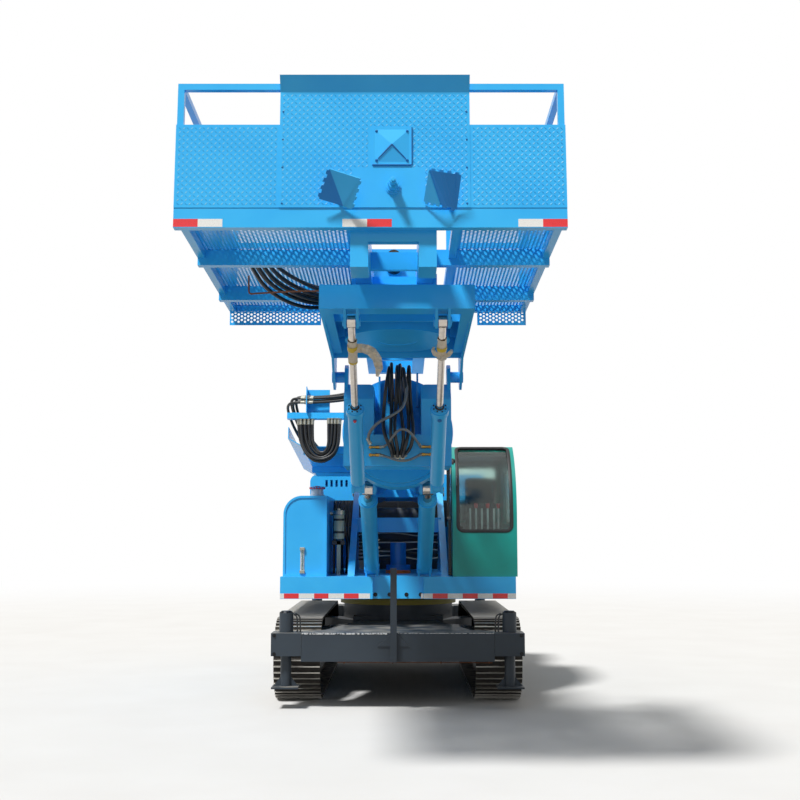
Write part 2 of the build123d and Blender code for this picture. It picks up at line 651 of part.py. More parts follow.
with BuildPart() as screen:
    extrude(Pos(SCREEN_X[0], 0, 0) * pane_outer, amount=SCREEN_X[1] - SCREEN_X[0], dir=(1, 0, 0))
    extrude(Pos(SCREEN_X[0], 0, 0) * pane_inner, amount=SCREEN_X[1] - SCREEN_X[0], dir=(1, 0, 0), mode=Mode.SUBTRACT)
    block(SCREEN_X, SCREEN_Y, SCREEN_Z, mode=Mode.INTERSECT)
    mid = CAB_Y1 - CAB_WALL / 2
    block(REAR_X, (mid - GLASS_T / 2, mid + GLASS_T / 2), REAR_Z)
    mid = CAB_X0 + CAB_WALL / 2
    block((mid - GLASS_T / 2, mid + GLASS_T / 2), LEFT_Y, LEFT_Z)
save(screen.part, "cab_glass")

# Door on the outer side, hung at its rear edge
door_y = (DOOR_Y[0] + DOOR_GAP, DOOR_Y[1] - DOOR_GAP)
door_z = (DOOR_Z[0] + DOOR_GAP, DOOR_Z[1] - DOOR_GAP)
pane_y = (door_y[0] + 70, door_y[1] - 70)
pane_z = (1720.0, door_z[1] - 70)
with BuildPart() as door:
    block((CAB_X1 - CAB_WALL, CAB_X1), door_y, door_z)
    block((CAB_X1 - CAB_WALL, CAB_X1), pane_y, pane_z, mode=Mode.SUBTRACT)
    for z in HINGE_Z:
        rod_z(HINGE_X, HINGE_Y, KNUCKLE_R, (z, z + 60))
        block((CAB_X1 - 5, HINGE_X), (HINGE_Y - 30, HINGE_Y), (z, z + 60))
        rod_z(HINGE_X, HINGE_Y, DOOR_PIN_R + RUN, (z, z + 60), mode=Mode.SUBTRACT)
save(door.part, "cab_door")
with BuildPart() as door_pane:
    mid = CAB_X1 - CAB_WALL / 2
    block((mid - GLASS_T / 2, mid + GLASS_T / 2), pane_y, pane_z)
save(door_pane.part, "cab_door_glass")
# Seat and control console inside the cab
with BuildPart() as seat:
    block((700, 1120), (-620, -170), (CAB_Z0 + CAB_WALL, 1560))
    block((700, 1120), (-620, -170), (1560, 1660))
    block((720, 1100), (-290, -170), (1660, 2250))
    fillet(seat.edges().filter_by(Axis.X), 30)
save(seat.part, "cab_seat")
with BuildPart() as console:
    block((680, 1080), (-1260, -1080), (CAB_Z0 + CAB_WALL, 1600))
    for x in (740, 800, 860, 920):
        rod_z(x, -1170, 8, (1600, 1760))
    block((600, 690), (-700, -260), (CAB_Z0 + CAB_WALL, 1700))
save(console.part, "cab_console")

# Outer boom: twin tubes, pivot tube, bands, front collar and cylinder lugs
with BuildPart() as boom_outer:
    for side in (-1, 1):
        rod_z(side * TUBE_X, 0, TUBE_R, (0, OUTER_LEN), BOOM)
    rod_x(PIVOT_Y, PIVOT_Z, 110, (-448, 448))
    for start in (700, 1900, OUTER_LEN - COLLAR_T):
        block((-TUBE_X, TUBE_X), (-TUBE_R - 30, TUBE_R + 30), (start, start + COLLAR_T), BOOM)
        for side in (-1, 1):
            rod_z(side * TUBE_X, 0, TUBE_R + 30, (start, start + COLLAR_T), BOOM)
    eye_up = BOOM.to_local_coords(Vector(0, *LUFF_EYE))
    for side in (-1, 1):
        for shift in (-1, 1):
            inner = side * LUFF_X + shift * (EYE_T / 2 + FREE)
            ear = [(-TUBE_R + 60, OUTER_LEN - 340), (-TUBE_R + 60, OUTER_LEN), (-TUBE_R - 60, OUTER_LEN),
                   (eye_up.Y + 20, eye_up.Z + 60), (eye_up.Y - 55, eye_up.Z + 40), (eye_up.Y - 55, eye_up.Z - 60)]
            side_plate(ear, (inner, inner + shift * 20), BOOM)
            rod_x(LUFF_EYE[0], LUFF_EYE[1], PIN_R + 12, (inner + shift * 20, inner + shift * 30))
    for z in TRAY_ARMS:
        block((TRAY_X[0] + 150, -TUBE_X), (TRAY_UP - 60, TRAY_UP), (z, z + 60), BOOM)
    block((-TUBE_X - 40, -TUBE_X + 40), (TUBE_R - 30, ARM_UP[0]), (ARM_Z[0], ARM_Z[1] - 20), BOOM)
    block((-TUBE_X + 90, TUBE_X - 90), (TUBE_R - 40, MANIFOLD_UP), MANIFOLD_Z, BOOM)
    for side in (-1, 1):
        rod_z(side * TUBE_X, 0, TUBE_R - TUBE_T, (INNER_START - 100, OUTER_LEN + 1), BOOM, Mode.SUBTRACT)
        rod_x(PIVOT_Y, PIVOT_Z, PIVOT_R, (side * 440, side * 520))
    rod_z(0, 0, TELE_R + 1, (0, OUTER_LEN + 1), BOOM, Mode.SUBTRACT)
save(boom_outer.part, "boom_outer")

with BuildPart() as tele_barrel:
    rod_z(0, 0, TELE_R, (112, OUTER_LEN - 60), BOOM)
    rod_z(0, 0, TELE_ROD_R + RUN, (1000, OUTER_LEN - 59), BOOM, Mode.SUBTRACT)
save(tele_barrel.part, "telescope_barrel")

# Inner boom: twin tubes, front flange and the fixed drum of the roll drive
with BuildPart() as boom_inner:
    flange_z = (OUTER_LEN + FREE, OUTER_LEN + 80)
    block((-TUBE_X, TUBE_X), (-TUBE_R, TUBE_R), flange_z, BOOM)
    for side in (-1, 1):
        rod_z(side * TUBE_X, 0, TUBE_R, flange_z, BOOM)
        rod_z(side * TUBE_X, 0, TUBE_R - TUBE_T - RUN, (INNER_START, flange_z[1]), BOOM)
    rod_z(0, 0, 380, (flange_z[1] - 1, DRUM_START), BOOM)
    rod_z(0, 0, DRUM_R, (DRUM_START, DRUM_START + DRUM_T), BOOM)
    rod_z(0, 0, SPIGOT_R + RUN, (DRUM_START - 20, DRUM_START + DRUM_T), BOOM, Mode.SUBTRACT)
    for side in (-1, 1):
        rod_z(side * TUBE_X, 0, TUBE_R - 2 * TUBE_T, (INNER_START, OUTER_LEN), BOOM, Mode.SUBTRACT)
save(boom_inner.part, "boom_inner")
with BuildPart() as tele_rod:
    rod_z(0, 0, TELE_ROD_R, (1020, OUTER_LEN + FREE), BOOM)
save(tele_rod.part, "telescope_rod")

# Hose trough beside the boom, folded from plate, with an arm and an angle bracket over its front end
with BuildPart() as tray:
    x0, x1 = TRAY_X
    under = TRAY_UP
    fold = [(x0, under + 200), (x0, under + 85), (x0 + 150, under), (x1, under), (x1, under + TRAY_T),
            (x0 + 153, under + TRAY_T), (x0 + TRAY_T, under + 90), (x0 + TRAY_T, under + 200)]
    plan_plate(fold, TRAY_Z, BOOM)
    end = [(x0, under + 150), (x0, under + 85), (x0 + 150, under), (x1, under), (x1, under + 150)]
    plan_plate(end, (TRAY_Z[0] - TRAY_T, TRAY_Z[0]), BOOM)
    block((x0 - 5, -TUBE_X + 40), ARM_UP, ARM_Z, BOOM)
    bracket_up = (ARM_UP[1], BRACKET_TOP)
    block((BRACKET_X[0], BRACKET_X[0] + TRAY_T), bracket_up, BRACKET_Z, BOOM)
    block(BRACKET_X, bracket_up, (BRACKET_Z[0], BRACKET_Z[0] + TRAY_T), BOOM)
save(tray.part, "hose_tray")

# Luffing and tilting cylinders, both of a pair in one body
for name, frame, x_at, length, barrel, bore_r, rod_r, rod_start, eye_r, eye_t in (
    ("luff", LUFF, LUFF_X, LUFF_LEN, LUFF_LEN - EYE_R - LUFF_SHOW, LUFF_R, LUFF_ROD_R, EYE_R + 80, EYE_R, EYE_T),
    ("tilt", TILT, TILT_X, TILT_LEN, TILT_BARREL, TILT_R, TILT_ROD_R, TILT_BARREL - ROD_IN, TILT_EYE_R, TILT_EYE_T),
):
    pin_r = PIN_R if name == "luff" else PIN_R - 10
    with BuildPart() as barrels:
        for side in (-1, 1):
            rod_x(0, 0, eye_r, (side * x_at - eye_t / 2, side * x_at + eye_t / 2), frame)
            rod_z(side * x_at, 0, eye_t / 2 - 4, (0, eye_r + 40), frame)
            rod_z(side * x_at, 0, bore_r, (eye_r + 30, barrel), frame)
            rod_x(0, 0, pin_r + RUN, (side * x_at - eye_t, side * x_at + eye_t), frame, Mode.SUBTRACT)
            rod_z(side * x_at, 0, bore_r + 12, (barrel - 60, barrel - 20), frame)
            rod_z(side * x_at, 0, rod_r + RUN, (eye_r + 60, barrel + 1), frame, Mode.SUBTRACT)
    save(barrels.part, f"{name}_barrels")
    with BuildPart() as rods:
        for side in (-1, 1):
            rod_x(0, length, eye_r, (side * x_at - eye_t / 2, side * x_at + eye_t / 2), frame)
            rod_z(side * x_at, 0, rod_r, (rod_start, length - eye_r * 0.6), frame)
    save(rods.part, f"{name}_rods")

# Head bracket: disc, two box cheeks, lower cross plate and pin lugs
with BuildPart() as head:
    disc_z = (DRUM_START + DRUM_T + FREE, DRUM_START + DRUM_T + FREE + 40)
    rod_z(0, 0, DRUM_R - 30, disc_z, BOOM)
    rod_z(0, 0, SPIGOT_R, (DRUM_START - 15, disc_z[0]), BOOM)
    disc_mid = (disc_z[0] + disc_z[1]) / 2
    low_y = in_ground(BOOM, -350, disc_mid)[0]
    high_y = in_ground(BOOM, 330, disc_mid)[0]
    low_z = FACE_Z + HEAD_LOW
    top_z = FACE_Z + HEAD_TOP
    front_y = FACE_Y - HEAD_OUT
    cheek = [(low_y, low_z), (high_y, top_z), (front_y + 130, top_z), (front_y + 20, top_z - 130), (front_y, low_z)]
    pocket = [(low_y - 30, low_z - 60), (high_y - 30, top_z - 15), (front_y + 140, top_z - 15),
              (front_y + 35, top_z - 140), (front_y + 15, low_z - 60)]
    for side in (-1, 1):
        side_plate(cheek, (side * CHEEK_X0, side * CHEEK_X1))
    top_edges = head.edges().filter_by(Axis.Y).filter_by(lambda edge: edge.center().Z > top_z - 1)
    fillet(top_edges, CHEEK_CORNER)
    for side in (-1, 1):
        side_plate(pocket, (side * (CHEEK_X0 + 15), side * (CHEEK_X1 - 15)), mode=Mode.SUBTRACT)
        ear_y, ear_z = TILT_PIVOT
        ear = [(ear_y + 140, top_z - 50), (ear_y + 100, ear_z + 60), (ear_y + 40, ear_z + 95),
               (ear_y - 40, ear_z + 95), (ear_y - 100, ear_z + 60), (ear_y - 140, top_z - 50)]
        side_plate(ear, (side * (CHEEK_X1 - 30), side * CHEEK_X1))
        rod_x(TILT_PIVOT[0], TILT_PIVOT[1], PIVOT_R, (side * (CHEEK_X1 - 10), side * (FRAME_X + 12)))
        base_y, base_z = TILT_BASE
        for shift in (-1, 1):
            inner = side * TILT_X + shift * (TILT_EYE_T / 2 + 1)
            lug = [(base_y + 200, low_z + 40), (front_y + 5, low_z + 40), (base_y - 45, base_z + 20), (base_y - 30, base_z - 50),
                   (base_y + 30, base_z - 50), (base_y + 60, base_z)]
            side_plate(lug, (inner, inner + shift * 22))
        rod_x(base_y, base_z, PIN_R - 10, (side * TILT_X - TILT_EYE_T / 2 - 2, side * TILT_X + TILT_EYE_T / 2 + 2))
    block((-CHEEK_X1, CHEEK_X1), (front_y - 15, front_y + 15), (low_z, low_z + 250))
    block((-CHEEK_X1, CHEEK_X1), (front_y + 15, low_y), (low_z, low_z + 20))
save(head.part, "head_bracket")

# Tilting frame: front beam, tapered sides down to the pivot, cross plates and clevises
with BuildPart() as tilt_frame:
    hollow_bar((-FRAME_X, FRAME_X), FRONT_BEAM, (-FRONT_BEAM_H, 0), 12, "x", MAST)
    pivot = MAST.to_local_coords(Vector(0, *TILT_PIVOT))
    web = [(FRONT_BEAM[1], 0), (pivot.Y + 110, 0), (pivot.Y + 95, pivot.Z - 60), (pivot.Y, pivot.Z - 105),
           (pivot.Y - 95, pivot.Z - 60), (pivot.Y - 320, -200), (FRONT_BEAM[1], -FRONT_BEAM_H)]
    for side in (-1, 1):
        side_plate(web, (side * FRAME_X, side * (FRAME_X - TILT_PLATE_T)), MAST)
        flange_x = (side * FRAME_X, side * (FRAME_X - 85))
        block(flange_x, (FRONT_BEAM[1], pivot.Y + 110), (-16, 0), MAST)
        block(flange_x, (FRONT_BEAM[1], pivot.Y - 340), (-FRONT_BEAM_H, -FRONT_BEAM_H + 16), MAST)
        end_x = (side * FRAME_X, side * (FRAME_X - 12))
        block(end_x, FRONT_BEAM, (-FRONT_BEAM_H, 0), MAST)
    cross_x = (-FRAME_X + TILT_PLATE_T, FRAME_X - TILT_PLATE_T)
    block(cross_x, (430, 450), (-190, -10), MAST)
    block(cross_x, (-440, -420), (-100, -10), MAST)
    block(cross_x, (-440, 450), (-22, 0), MAST)
    rod_z(0, 0, SWING_R, (-150, 0), MAST)
    rod_z(0, 0, SPIGOT_R + RUN, (-150, 0), MAST, Mode.SUBTRACT)
    eye_y, eye_z = TILT_EYE
    for side in (-1, 1):
        for shift in (-1, 1):
            inner = side * TILT_X + shift * (TILT_EYE_T / 2 + FREE)
            ear = [(FRONT_BEAM[0] + 10, -FRONT_BEAM_H), (FRONT_BEAM[1] - 10, -FRONT_BEAM_H),
                   (eye_y + 45, eye_z), (eye_y + 20, eye_z - 45), (eye_y - 20, eye_z - 45), (eye_y - 45, eye_z)]
            side_plate(ear, (inner, inner + shift * 18), MAST)
            rod_x(eye_y, eye_z, PIN_R, (inner + shift * 18, inner + shift * 28), MAST)
        bore = (side * (FRAME_X - 40), side * (FRAME_X + 10))
        rod_x(pivot.Y, pivot.Z, PIVOT_R + RUN, bore, MAST, Mode.SUBTRACT)
save(tilt_frame.part, "tilt_frame")

# Swing sled: turns on the tilting frame and guides the mast
MAST_HALF = RAIL_GAP / 2 + RAIL_W
GUIDE_T = 30.0
with BuildPart() as sled:
    rod_z(0, 0, SWING_R, (FREE, FREE + SLED_T), MAST)
    rod_z(0, 0, SPIGOT_R, (-145, FREE), MAST)
    block((MAST_X - MAST_HALF - GUIDE_T, MAST_X + MAST_HALF + GUIDE_T), (-850, 850), (FREE + 10, FREE + SLED_T), MAST)
    for side in (-1, 1):
        inner = MAST_X + side * (MAST_HALF + 1)
        block((inner, inner + side * GUIDE_T), (-850, 850), (FREE + 10, RAIL_Z0 + 70), MAST)
    block((MAST_X - MAST_HALF, MAST_X + MAST_HALF), (-850, 850), (FREE + SLED_T - 2, RAIL_Z0 - RUN), MAST)
save(sled.part, "swing_sled")

# Mast: two box rails with cross ties, end plates and guide plates that hang at the front
with BuildPart() as mast:
    for side in (-1, 1):
        x0 = MAST_X + side * RAIL_GAP / 2
        hollow_bar((x0, x0 + side * RAIL_W), (MAST_FRONT, MAST_REAR), (RAIL_Z0, RAIL_Z1), RAIL_WALL, "y", MAST)
    inner_x = (MAST_X - RAIL_GAP / 2, MAST_X + RAIL_GAP / 2)
    for y in range(-1800, 2401, 600):
        block(inner_x, (y, y + 40), (RAIL_Z0, RAIL_Z0 + 120), MAST)
    for y in (MAST_FRONT, MAST_REAR - 16):
        block((MAST_X - MAST_HALF, MAST_X + MAST_HALF), (y, y + 16), (RAIL_Z0, RAIL_Z1), MAST)
    for side in (-1, 1):
        x0 = MAST_X + side * RAIL_GAP / 2
        block((x0, x0 + side * RAIL_W), (MAST_FRONT, MAST_FRONT + 260), (-90, RAIL_Z0), MAST)
save(mast.part, "mast")

# Rotary head on its carriage: runs on top of the mast
CARRIAGE_Y = (700.0, 1300.0)
with BuildPart() as carriage:
    block((MAST_X - MAST_HALF - 20, MAST_X + MAST_HALF + 20), CARRIAGE_Y, (RAIL_Z1 + RUN, RAIL_Z1 + 50), MAST)
    for side in (-1, 1):
        inner = MAST_X + side * (MAST_HALF + 1)
        block((inner, inner + side * 22), CARRIAGE_Y, (RAIL_Z1 - 80, RAIL_Z1 + 50), MAST)
    block((DRILL_X - 190, DRILL_X + 190), (CARRIAGE_Y[0] + 60, CARRIAGE_Y[1] - 60), (RAIL_Z1 + 40, DRILL_Z + 150), MAST)
    for side in (-1, 1):
        rod_y(DRILL_X + side * 120, DRILL_Z + 40, 75, (CARRIAGE_Y[1] - 60, CARRIAGE_Y[1] + 230), MAST)
    rod_y(DRILL_X, DRILL_Z, 70 + RUN, (CARRIAGE_Y[0] - 20, CARRIAGE_Y[1] - 200), MAST, Mode.SUBTRACT)
save(carriage.part, "rotary_head")
with BuildPart() as spindle:
    rod_y(DRILL_X, DRILL_Z, 70, (CARRIAGE_Y[0] - 60, CARRIAGE_Y[1] - 205), MAST)
    rod_y(DRILL_X, DRILL_Z, 55, (CARRIAGE_Y[0] - 240, CARRIAGE_Y[0] - 60), MAST)
    rod_y(DRILL_X, DRILL_Z, 28, (CARRIAGE_Y[0] - 241, CARRIAGE_Y[0] - 100), MAST, Mode.SUBTRACT)
save(spindle.part, "spindle")

# Platform: floor frame beside the mast, floors, front plates and railing
PLAT_REAR = PLAT_FRONT + PLAT_LEN
PLAT_X = (PLAT_X0, PLAT_X1)
with BuildPart() as plat_frame:
    hollow_bar(PLAT_X, (PLAT_FRONT, MAST_FRONT), (PLAT_BEAM_Z0, PLAT_FLOOR_Z), 8, "x", MAST)
    left = (PLAT_X0, MAST_X - MAST_HALF - 1)
    right = (MAST_X + MAST_HALF + 1, PLAT_X1)
    for at in CROSS_AT:
        y = PLAT_FRONT + at
        for x in (left, right):
            hollow_bar(x, (y, y + 60), (PLAT_FLOOR_Z - 110, PLAT_FLOOR_Z), 8, "x", MAST)
    for x in (left, right):
        block(x, (PLAT_REAR - 60, PLAT_REAR), (PLAT_FLOOR_Z - 50, PLAT_FLOOR_Z), MAST)
    for x in ((PLAT_X0, PLAT_X0 + 50), (PLAT_X1 - 50, PLAT_X1), (FLOOR_RIGHT_X - 50, FLOOR_RIGHT_X)):
        block(x, (PLAT_FRONT + 60, PLAT_REAR - 60 - SKIRT_PLATE_T), (PLAT_FLOOR_Z - 60, PLAT_FLOOR_Z), MAST)
save(plat_frame.part, "platform_frame")

with BuildPart() as floors:
    for x in ((PLAT_X0, FLOOR_LEFT_X), (FLOOR_RIGHT_X, PLAT_X1)):
        block(x, (PLAT_FRONT, PLAT_REAR), (PLAT_FLOOR_Z, PLAT_FLOOR_Z + FLOOR_T), MAST)
    for x in SKIRTS_X:
        block(x, (PLAT_REAR - 60 - SKIRT_PLATE_T, PLAT_REAR - 60), (PLAT_FLOOR_Z - SKIRT_H, PLAT_FLOOR_Z - 5), MAST)
save(floors.part, "platform_floor")

with BuildPart() as front_plate:
    plate_y = (PLAT_FRONT - 4, PLAT_FRONT)
    block(PLAT_X, plate_y, (PLAT_FLOOR_Z, SIDE_PLATE_Z), MAST)
    face_y = PLAT_FRONT - 8
    bend_z = MID_PLATE_Z - FLANGE_H
    block(MID_PLATE_X, (face_y, PLAT_FRONT - 4), (PLAT_FLOOR_Z, bend_z), MAST)
    flange = [(face_y + 4, bend_z - 1), (face_y, bend_z - 1), (face_y - FLANGE_OUT, MID_PLATE_Z),
              (face_y - FLANGE_OUT + 5, MID_PLATE_Z)]
    side_plate(flange, MID_PLATE_X, MAST)
save(front_plate.part, "platform_front_plate")

with BuildPart() as railing:
    half = RAIL_TUBE / 2
    rail_z = (TOP_RAIL_Z - half, TOP_RAIL_Z + half)
    side_xs = ((PLAT_X0 + PANEL_T, PLAT_X0 + PANEL_T + RAIL_TUBE), (PLAT_X1 - PANEL_T - RAIL_TUBE, PLAT_X1 - PANEL_T))
    block((PLAT_X0 + PANEL_T, PLAT_X1 - PANEL_T), (PLAT_FRONT, PLAT_FRONT + RAIL_TUBE), rail_z, MAST)
    for x in side_xs:
        block(x, (PLAT_FRONT, PLAT_REAR), (SIDE_PLATE_Z - RAIL_TUBE, SIDE_PLATE_Z), MAST)
        block(x, (PLAT_FRONT, PLAT_REAR), rail_z, MAST)
        for y in (PLAT_FRONT, PLAT_FRONT + 820, PLAT_FRONT + 1640, PLAT_REAR - RAIL_TUBE):
            block(x, (y, y + RAIL_TUBE), (PLAT_FLOOR_Z + FLOOR_T, TOP_RAIL_Z), MAST)
    rear_y = (PLAT_REAR - RAIL_TUBE, PLAT_REAR)
    for outer, inner in ((PLAT_X0 + PANEL_T, FLOOR_LEFT_X), (PLAT_X1 - PANEL_T, FLOOR_RIGHT_X)):
        post_x = sorted((inner, inner + RAIL_TUBE if inner > 0 else inner - RAIL_TUBE))
        for z in (rail_z, (SIDE_PLATE_Z - RAIL_TUBE, SIDE_PLATE_Z)):
            block((outer, inner), rear_y, z, MAST)
        block(post_x, rear_y, (PLAT_FLOOR_Z + FLOOR_T, TOP_RAIL_Z), MAST)
save(railing.part, "platform_railing")

with BuildPart() as side_panels:
    for x in ((PLAT_X0, PLAT_X0 + PANEL_T), (PLAT_X1 - PANEL_T, PLAT_X1)):
        block(x, (PLAT_FRONT, PLAT_REAR), (PLAT_FLOOR_Z + FLOOR_T, SIDE_PLATE_Z), MAST)
save(side_panels.part, "platform_side_panels")

# Cover of the drill's way out: a square plate with four folds to its middle
with BuildPart() as cover:
    x0, x1 = DRILL_X - COVER_W / 2, DRILL_X + COVER_W / 2
    z0, z1 = DRILL_Z - COVER_W / 2, DRILL_Z + COVER_W / 2
    back_y = PLAT_FRONT - 8
    foot_y = back_y - COVER_T
    tip_y = back_y - COVER_H
    side_plate([(foot_y, z0 + COVER_FOOT), (tip_y, DRILL_Z), (foot_y, z1 - COVER_FOOT)], (x0, x1), MAST)
    plan_plate([(x0 + COVER_FOOT, foot_y), (DRILL_X, tip_y), (x1 - COVER_FOOT, foot_y)], (z0, z1), MAST,
               mode=Mode.INTERSECT)
    block((x0, x1), (foot_y, back_y), (z0, z1), MAST)
save(cover.part, "drill_port_cover")

# Two gripping claws of folded plate with toothed edges, and the centre pin between them


def leaf(corners, toothed):
    """A flat plate through its corners, with teeth along the named edges."""
    spots = [MAST.from_local_coords(corner) for corner in corners]
    across = spots[1] - spots[0]
    face = Plane(origin=spots[0], x_dir=across, z_dir=across.cross(spots[2] - spots[0]))
    flat = [face.to_local_coords(spot) for spot in spots]
    outline = []
    for index, start in enumerate(flat):
        run = flat[(index + 1) % len(flat)] - start
        outline.append((start.X, start.Y))
        if index in toothed:
            count = round(run.length / TOOTH_PITCH)
            out = Vector(run.Y, -run.X).normalized() * TOOTH_H
            for tooth in range(count):
                foot = start + run * ((tooth + 0.1) / count)
                tip_in = start + run * ((tooth + 0.25) / count) + out
                tip_out = start + run * ((tooth + 0.65) / count) + out
                heel = start + run * ((tooth + 0.8) / count)
                outline += [(spot.X, spot.Y) for spot in (foot, tip_in, tip_out, heel)]
    with BuildSketch(face) as profile:
        with BuildLine():
            Polyline(*outline, close=True)
        make_face()
    extrude(profile.sketch, amount=CLAW_T / 2, both=True)


CLAWS = (   # top left, top right, low right, fold, low left as (x, z); toothed edges of the two leaves; boss
    ((-399, 424), (-223, 376), (-259, 283), (-323, 286), (-459, 330), (0,), (2,), (-330, 350)),
    ((186, 434), (363, 408), (349, 292), (239, 296), (154, 306), (1,), (1, 3), (262, 352)),
)
with BuildPart() as claws:
    for top_left, top_right, low_right, fold, low_left, teeth_1, teeth_2, boss in CLAWS:
        a, b = ((x, CLAW_OUT, z) for x, z in (top_left, top_right))
        c, d, e = ((x, CLAW_IN, z) for x, z in (low_right, fold, low_left))
        leaf((a, e, d), teeth_1)
        leaf((a, d, c, b), teeth_2)
        rod_y(*boss, 34, (PLAT_FRONT - 95, PLAT_FRONT - 8), MAST)
    rod_y(DRILL_X, 379, 45, (PLAT_FRONT - 18, PLAT_FRONT - 8), MAST)
    rod_y(DRILL_X, 379, 34, (PLAT_FRONT - 40, PLAT_FRONT - 18), MAST)
    rod_y(DRILL_X, 379, 22, (PLAT_FRONT - 90, PLAT_FRONT - 40), MAST)
save(claws.part, "front_claws")

# Hose bundles. Each route is a list of points by hand, in the axes of the frame that carries it
BUNDLE_SIDES = 8


def bends(points):
    """The largest radius that the two runs at each corner allow."""
    radii = []
    for before, at, after in zip(points, points[1:], points[2:]):
        turn = radians((at - before).get_angle(after - at))
        radii.append(0.45 * min((at - before).length, (after - at).length) / tan(turn / 2))
    return radii


def round_bundle(route, r, frame, name):
    """A bundle of eight-sided section, the outer shape of hoses strapped together, along a route."""
    points = [frame.from_local_coords(spot) for spot in route]
    radii = bends(points)
    with BuildPart() as bundle:
        with BuildLine() as path:
            FilletPolyline(*points, radius=radii)
        with BuildSketch(Plane(origin=points[0], z_dir=points[1] - points[0])):
            section = RegularPolygon(r, BUNDLE_SIDES)
        sweep(path=path.line)
    share = bundle.part.volume / (section.area * path.wire().length)
    print(name, "length", round(path.wire().length), "volume share", round(share, 3), "radii",
          [round(radius) for radius in radii])
    save(bundle.part, name)


def flat_bundle(route, thick, plane, wide, name):
    """A bundle of flat section: a band along a route in one plane, as wide as the hoses side by side."""
    points = [Vector(*spot) for spot in route]
    radii = bends(points)
    with BuildPart() as bundle:
        with BuildSketch(plane) as band:
            with BuildLine() as path:
                FilletPolyline(*points, radius=radii)
            trace(line_width=thick)
        extrude(band.sketch, amount=wide)
    share = bundle.part.volume / (thick * wide * path.wire().length)
    print(name, "length", round(path.wire().length), "volume share", round(share, 3), "radii",
          [round(radius) for radius in radii])
    save(bundle.part, name)


PLATFORM_HOSES = ((-930, -953, 210), (-930, -790, 210), (-860, -600, 130), (-700, -420, 80), (-530, -270, 110),
                  (-400, -140, 202), (-285, -140, 202))
TROUGH_HOSES = ((-800, 200.5, 300), (-800, 200.5, 850), (-820, 203, 1350), (-915, 280, 1760), (-1010, 420, 2000),
                (-1060, 545, 2150), (-1060, 585, 2245), (-1005, 600, 2330), (-905, 600, 2330))
CROSS_HOSES = ((-897, 600, 2330), (-680, 600, 2330), (-380, 660, 2320), (-110, 590, 2240), (0, 420, 2150),
               (0, 200, 2150))
TRAY_LOOP = ((-900, 410), (-900, 270), (-905, 120), (-835, 30), (-730, 28), (-655, 110), (-660, 270), (-660, 410))
disc_front = DRUM_START + DRUM_T + FREE + 40
disc_spot = in_ground(BOOM, 255, disc_front)
disc_ahead = in_ground(BOOM, 255, disc_front + 190)
head_fall = [disc_spot, disc_ahead]
for out, up in ((420, 455), (590, 450), (665, 300), (690, 110), (825, -16), (881, -117), (864, -205), (795, -263),
                (725, -263)):
    head_fall.append((FACE_Y - out, FACE_Z + up))
deck_fall = [(TANK_X[1] + out, z) for out, z in
             ((0, 1830), (80, 1830), (125, 1770), (118, 1640), (88, 1480), (105, 1330), (105, DECK_Z1))]
round_bundle(PLATFORM_HOSES, 50, MAST, "platform_hoses")
round_bundle(TROUGH_HOSES, 52, BOOM, "trough_hoses")
round_bundle(CROSS_HOSES, 52, BOOM, "cross_hoses")
flat_bundle(TRAY_LOOP, 76, within(BOOM, Plane.XY.offset(ARM_Z[0] + 2)), 76, "tray_hoses")
flat_bundle(head_fall, 56, Plane.YZ.offset(-105), 210, "head_hoses")
flat_bundle(deck_fall, 60, Plane.XZ.offset(560), 200, "deck_hoses")
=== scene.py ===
# %% [markdown]
# # An anchor drilling rig on tracks
# This notebook dresses a drilling rig whose steelwork is already modelled: a tracked car body, a slewing
# deck with cab, tank and engine hood, a twin-tube boom, and a tilting mast with a work platform on it.
# The model is loaded as a fixed frame, one object per part, and nothing in it is moved or resized.
# Everything below adds what the eye expects on top: paint, glass, hoses, plate patterns, bolts and light.

# %% Load the frame
import math

import bpy
from mathutils import Matrix, Vector
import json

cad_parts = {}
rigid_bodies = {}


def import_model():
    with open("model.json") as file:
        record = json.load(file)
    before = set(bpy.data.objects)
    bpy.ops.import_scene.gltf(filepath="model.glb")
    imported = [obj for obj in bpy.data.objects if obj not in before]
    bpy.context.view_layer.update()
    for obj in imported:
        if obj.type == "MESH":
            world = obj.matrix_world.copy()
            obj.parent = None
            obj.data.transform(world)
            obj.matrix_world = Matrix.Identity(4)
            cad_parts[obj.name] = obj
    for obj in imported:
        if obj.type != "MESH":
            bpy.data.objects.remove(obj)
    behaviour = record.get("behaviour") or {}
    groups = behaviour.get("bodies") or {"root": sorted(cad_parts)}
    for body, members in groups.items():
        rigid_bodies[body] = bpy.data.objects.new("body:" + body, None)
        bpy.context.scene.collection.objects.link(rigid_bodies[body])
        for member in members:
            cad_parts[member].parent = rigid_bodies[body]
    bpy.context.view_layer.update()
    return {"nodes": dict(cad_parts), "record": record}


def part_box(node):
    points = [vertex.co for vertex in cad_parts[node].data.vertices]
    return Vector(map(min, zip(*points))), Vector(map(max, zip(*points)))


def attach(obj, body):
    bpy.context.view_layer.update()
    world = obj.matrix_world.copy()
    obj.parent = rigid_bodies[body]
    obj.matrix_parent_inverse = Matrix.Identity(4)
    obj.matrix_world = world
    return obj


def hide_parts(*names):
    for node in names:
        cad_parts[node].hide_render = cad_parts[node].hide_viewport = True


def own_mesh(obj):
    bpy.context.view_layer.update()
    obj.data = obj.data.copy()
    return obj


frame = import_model()
nodes = frame["nodes"]

# %% [markdown]
# Colours are written as sRGB hex values, the way a paint chart gives them. Blender's shaders work in
# linear light, so one function converts them. A second one adds a node with its settings and links, and
# every material below is built with it.

# %% Colours and nodes
MM = 0.001


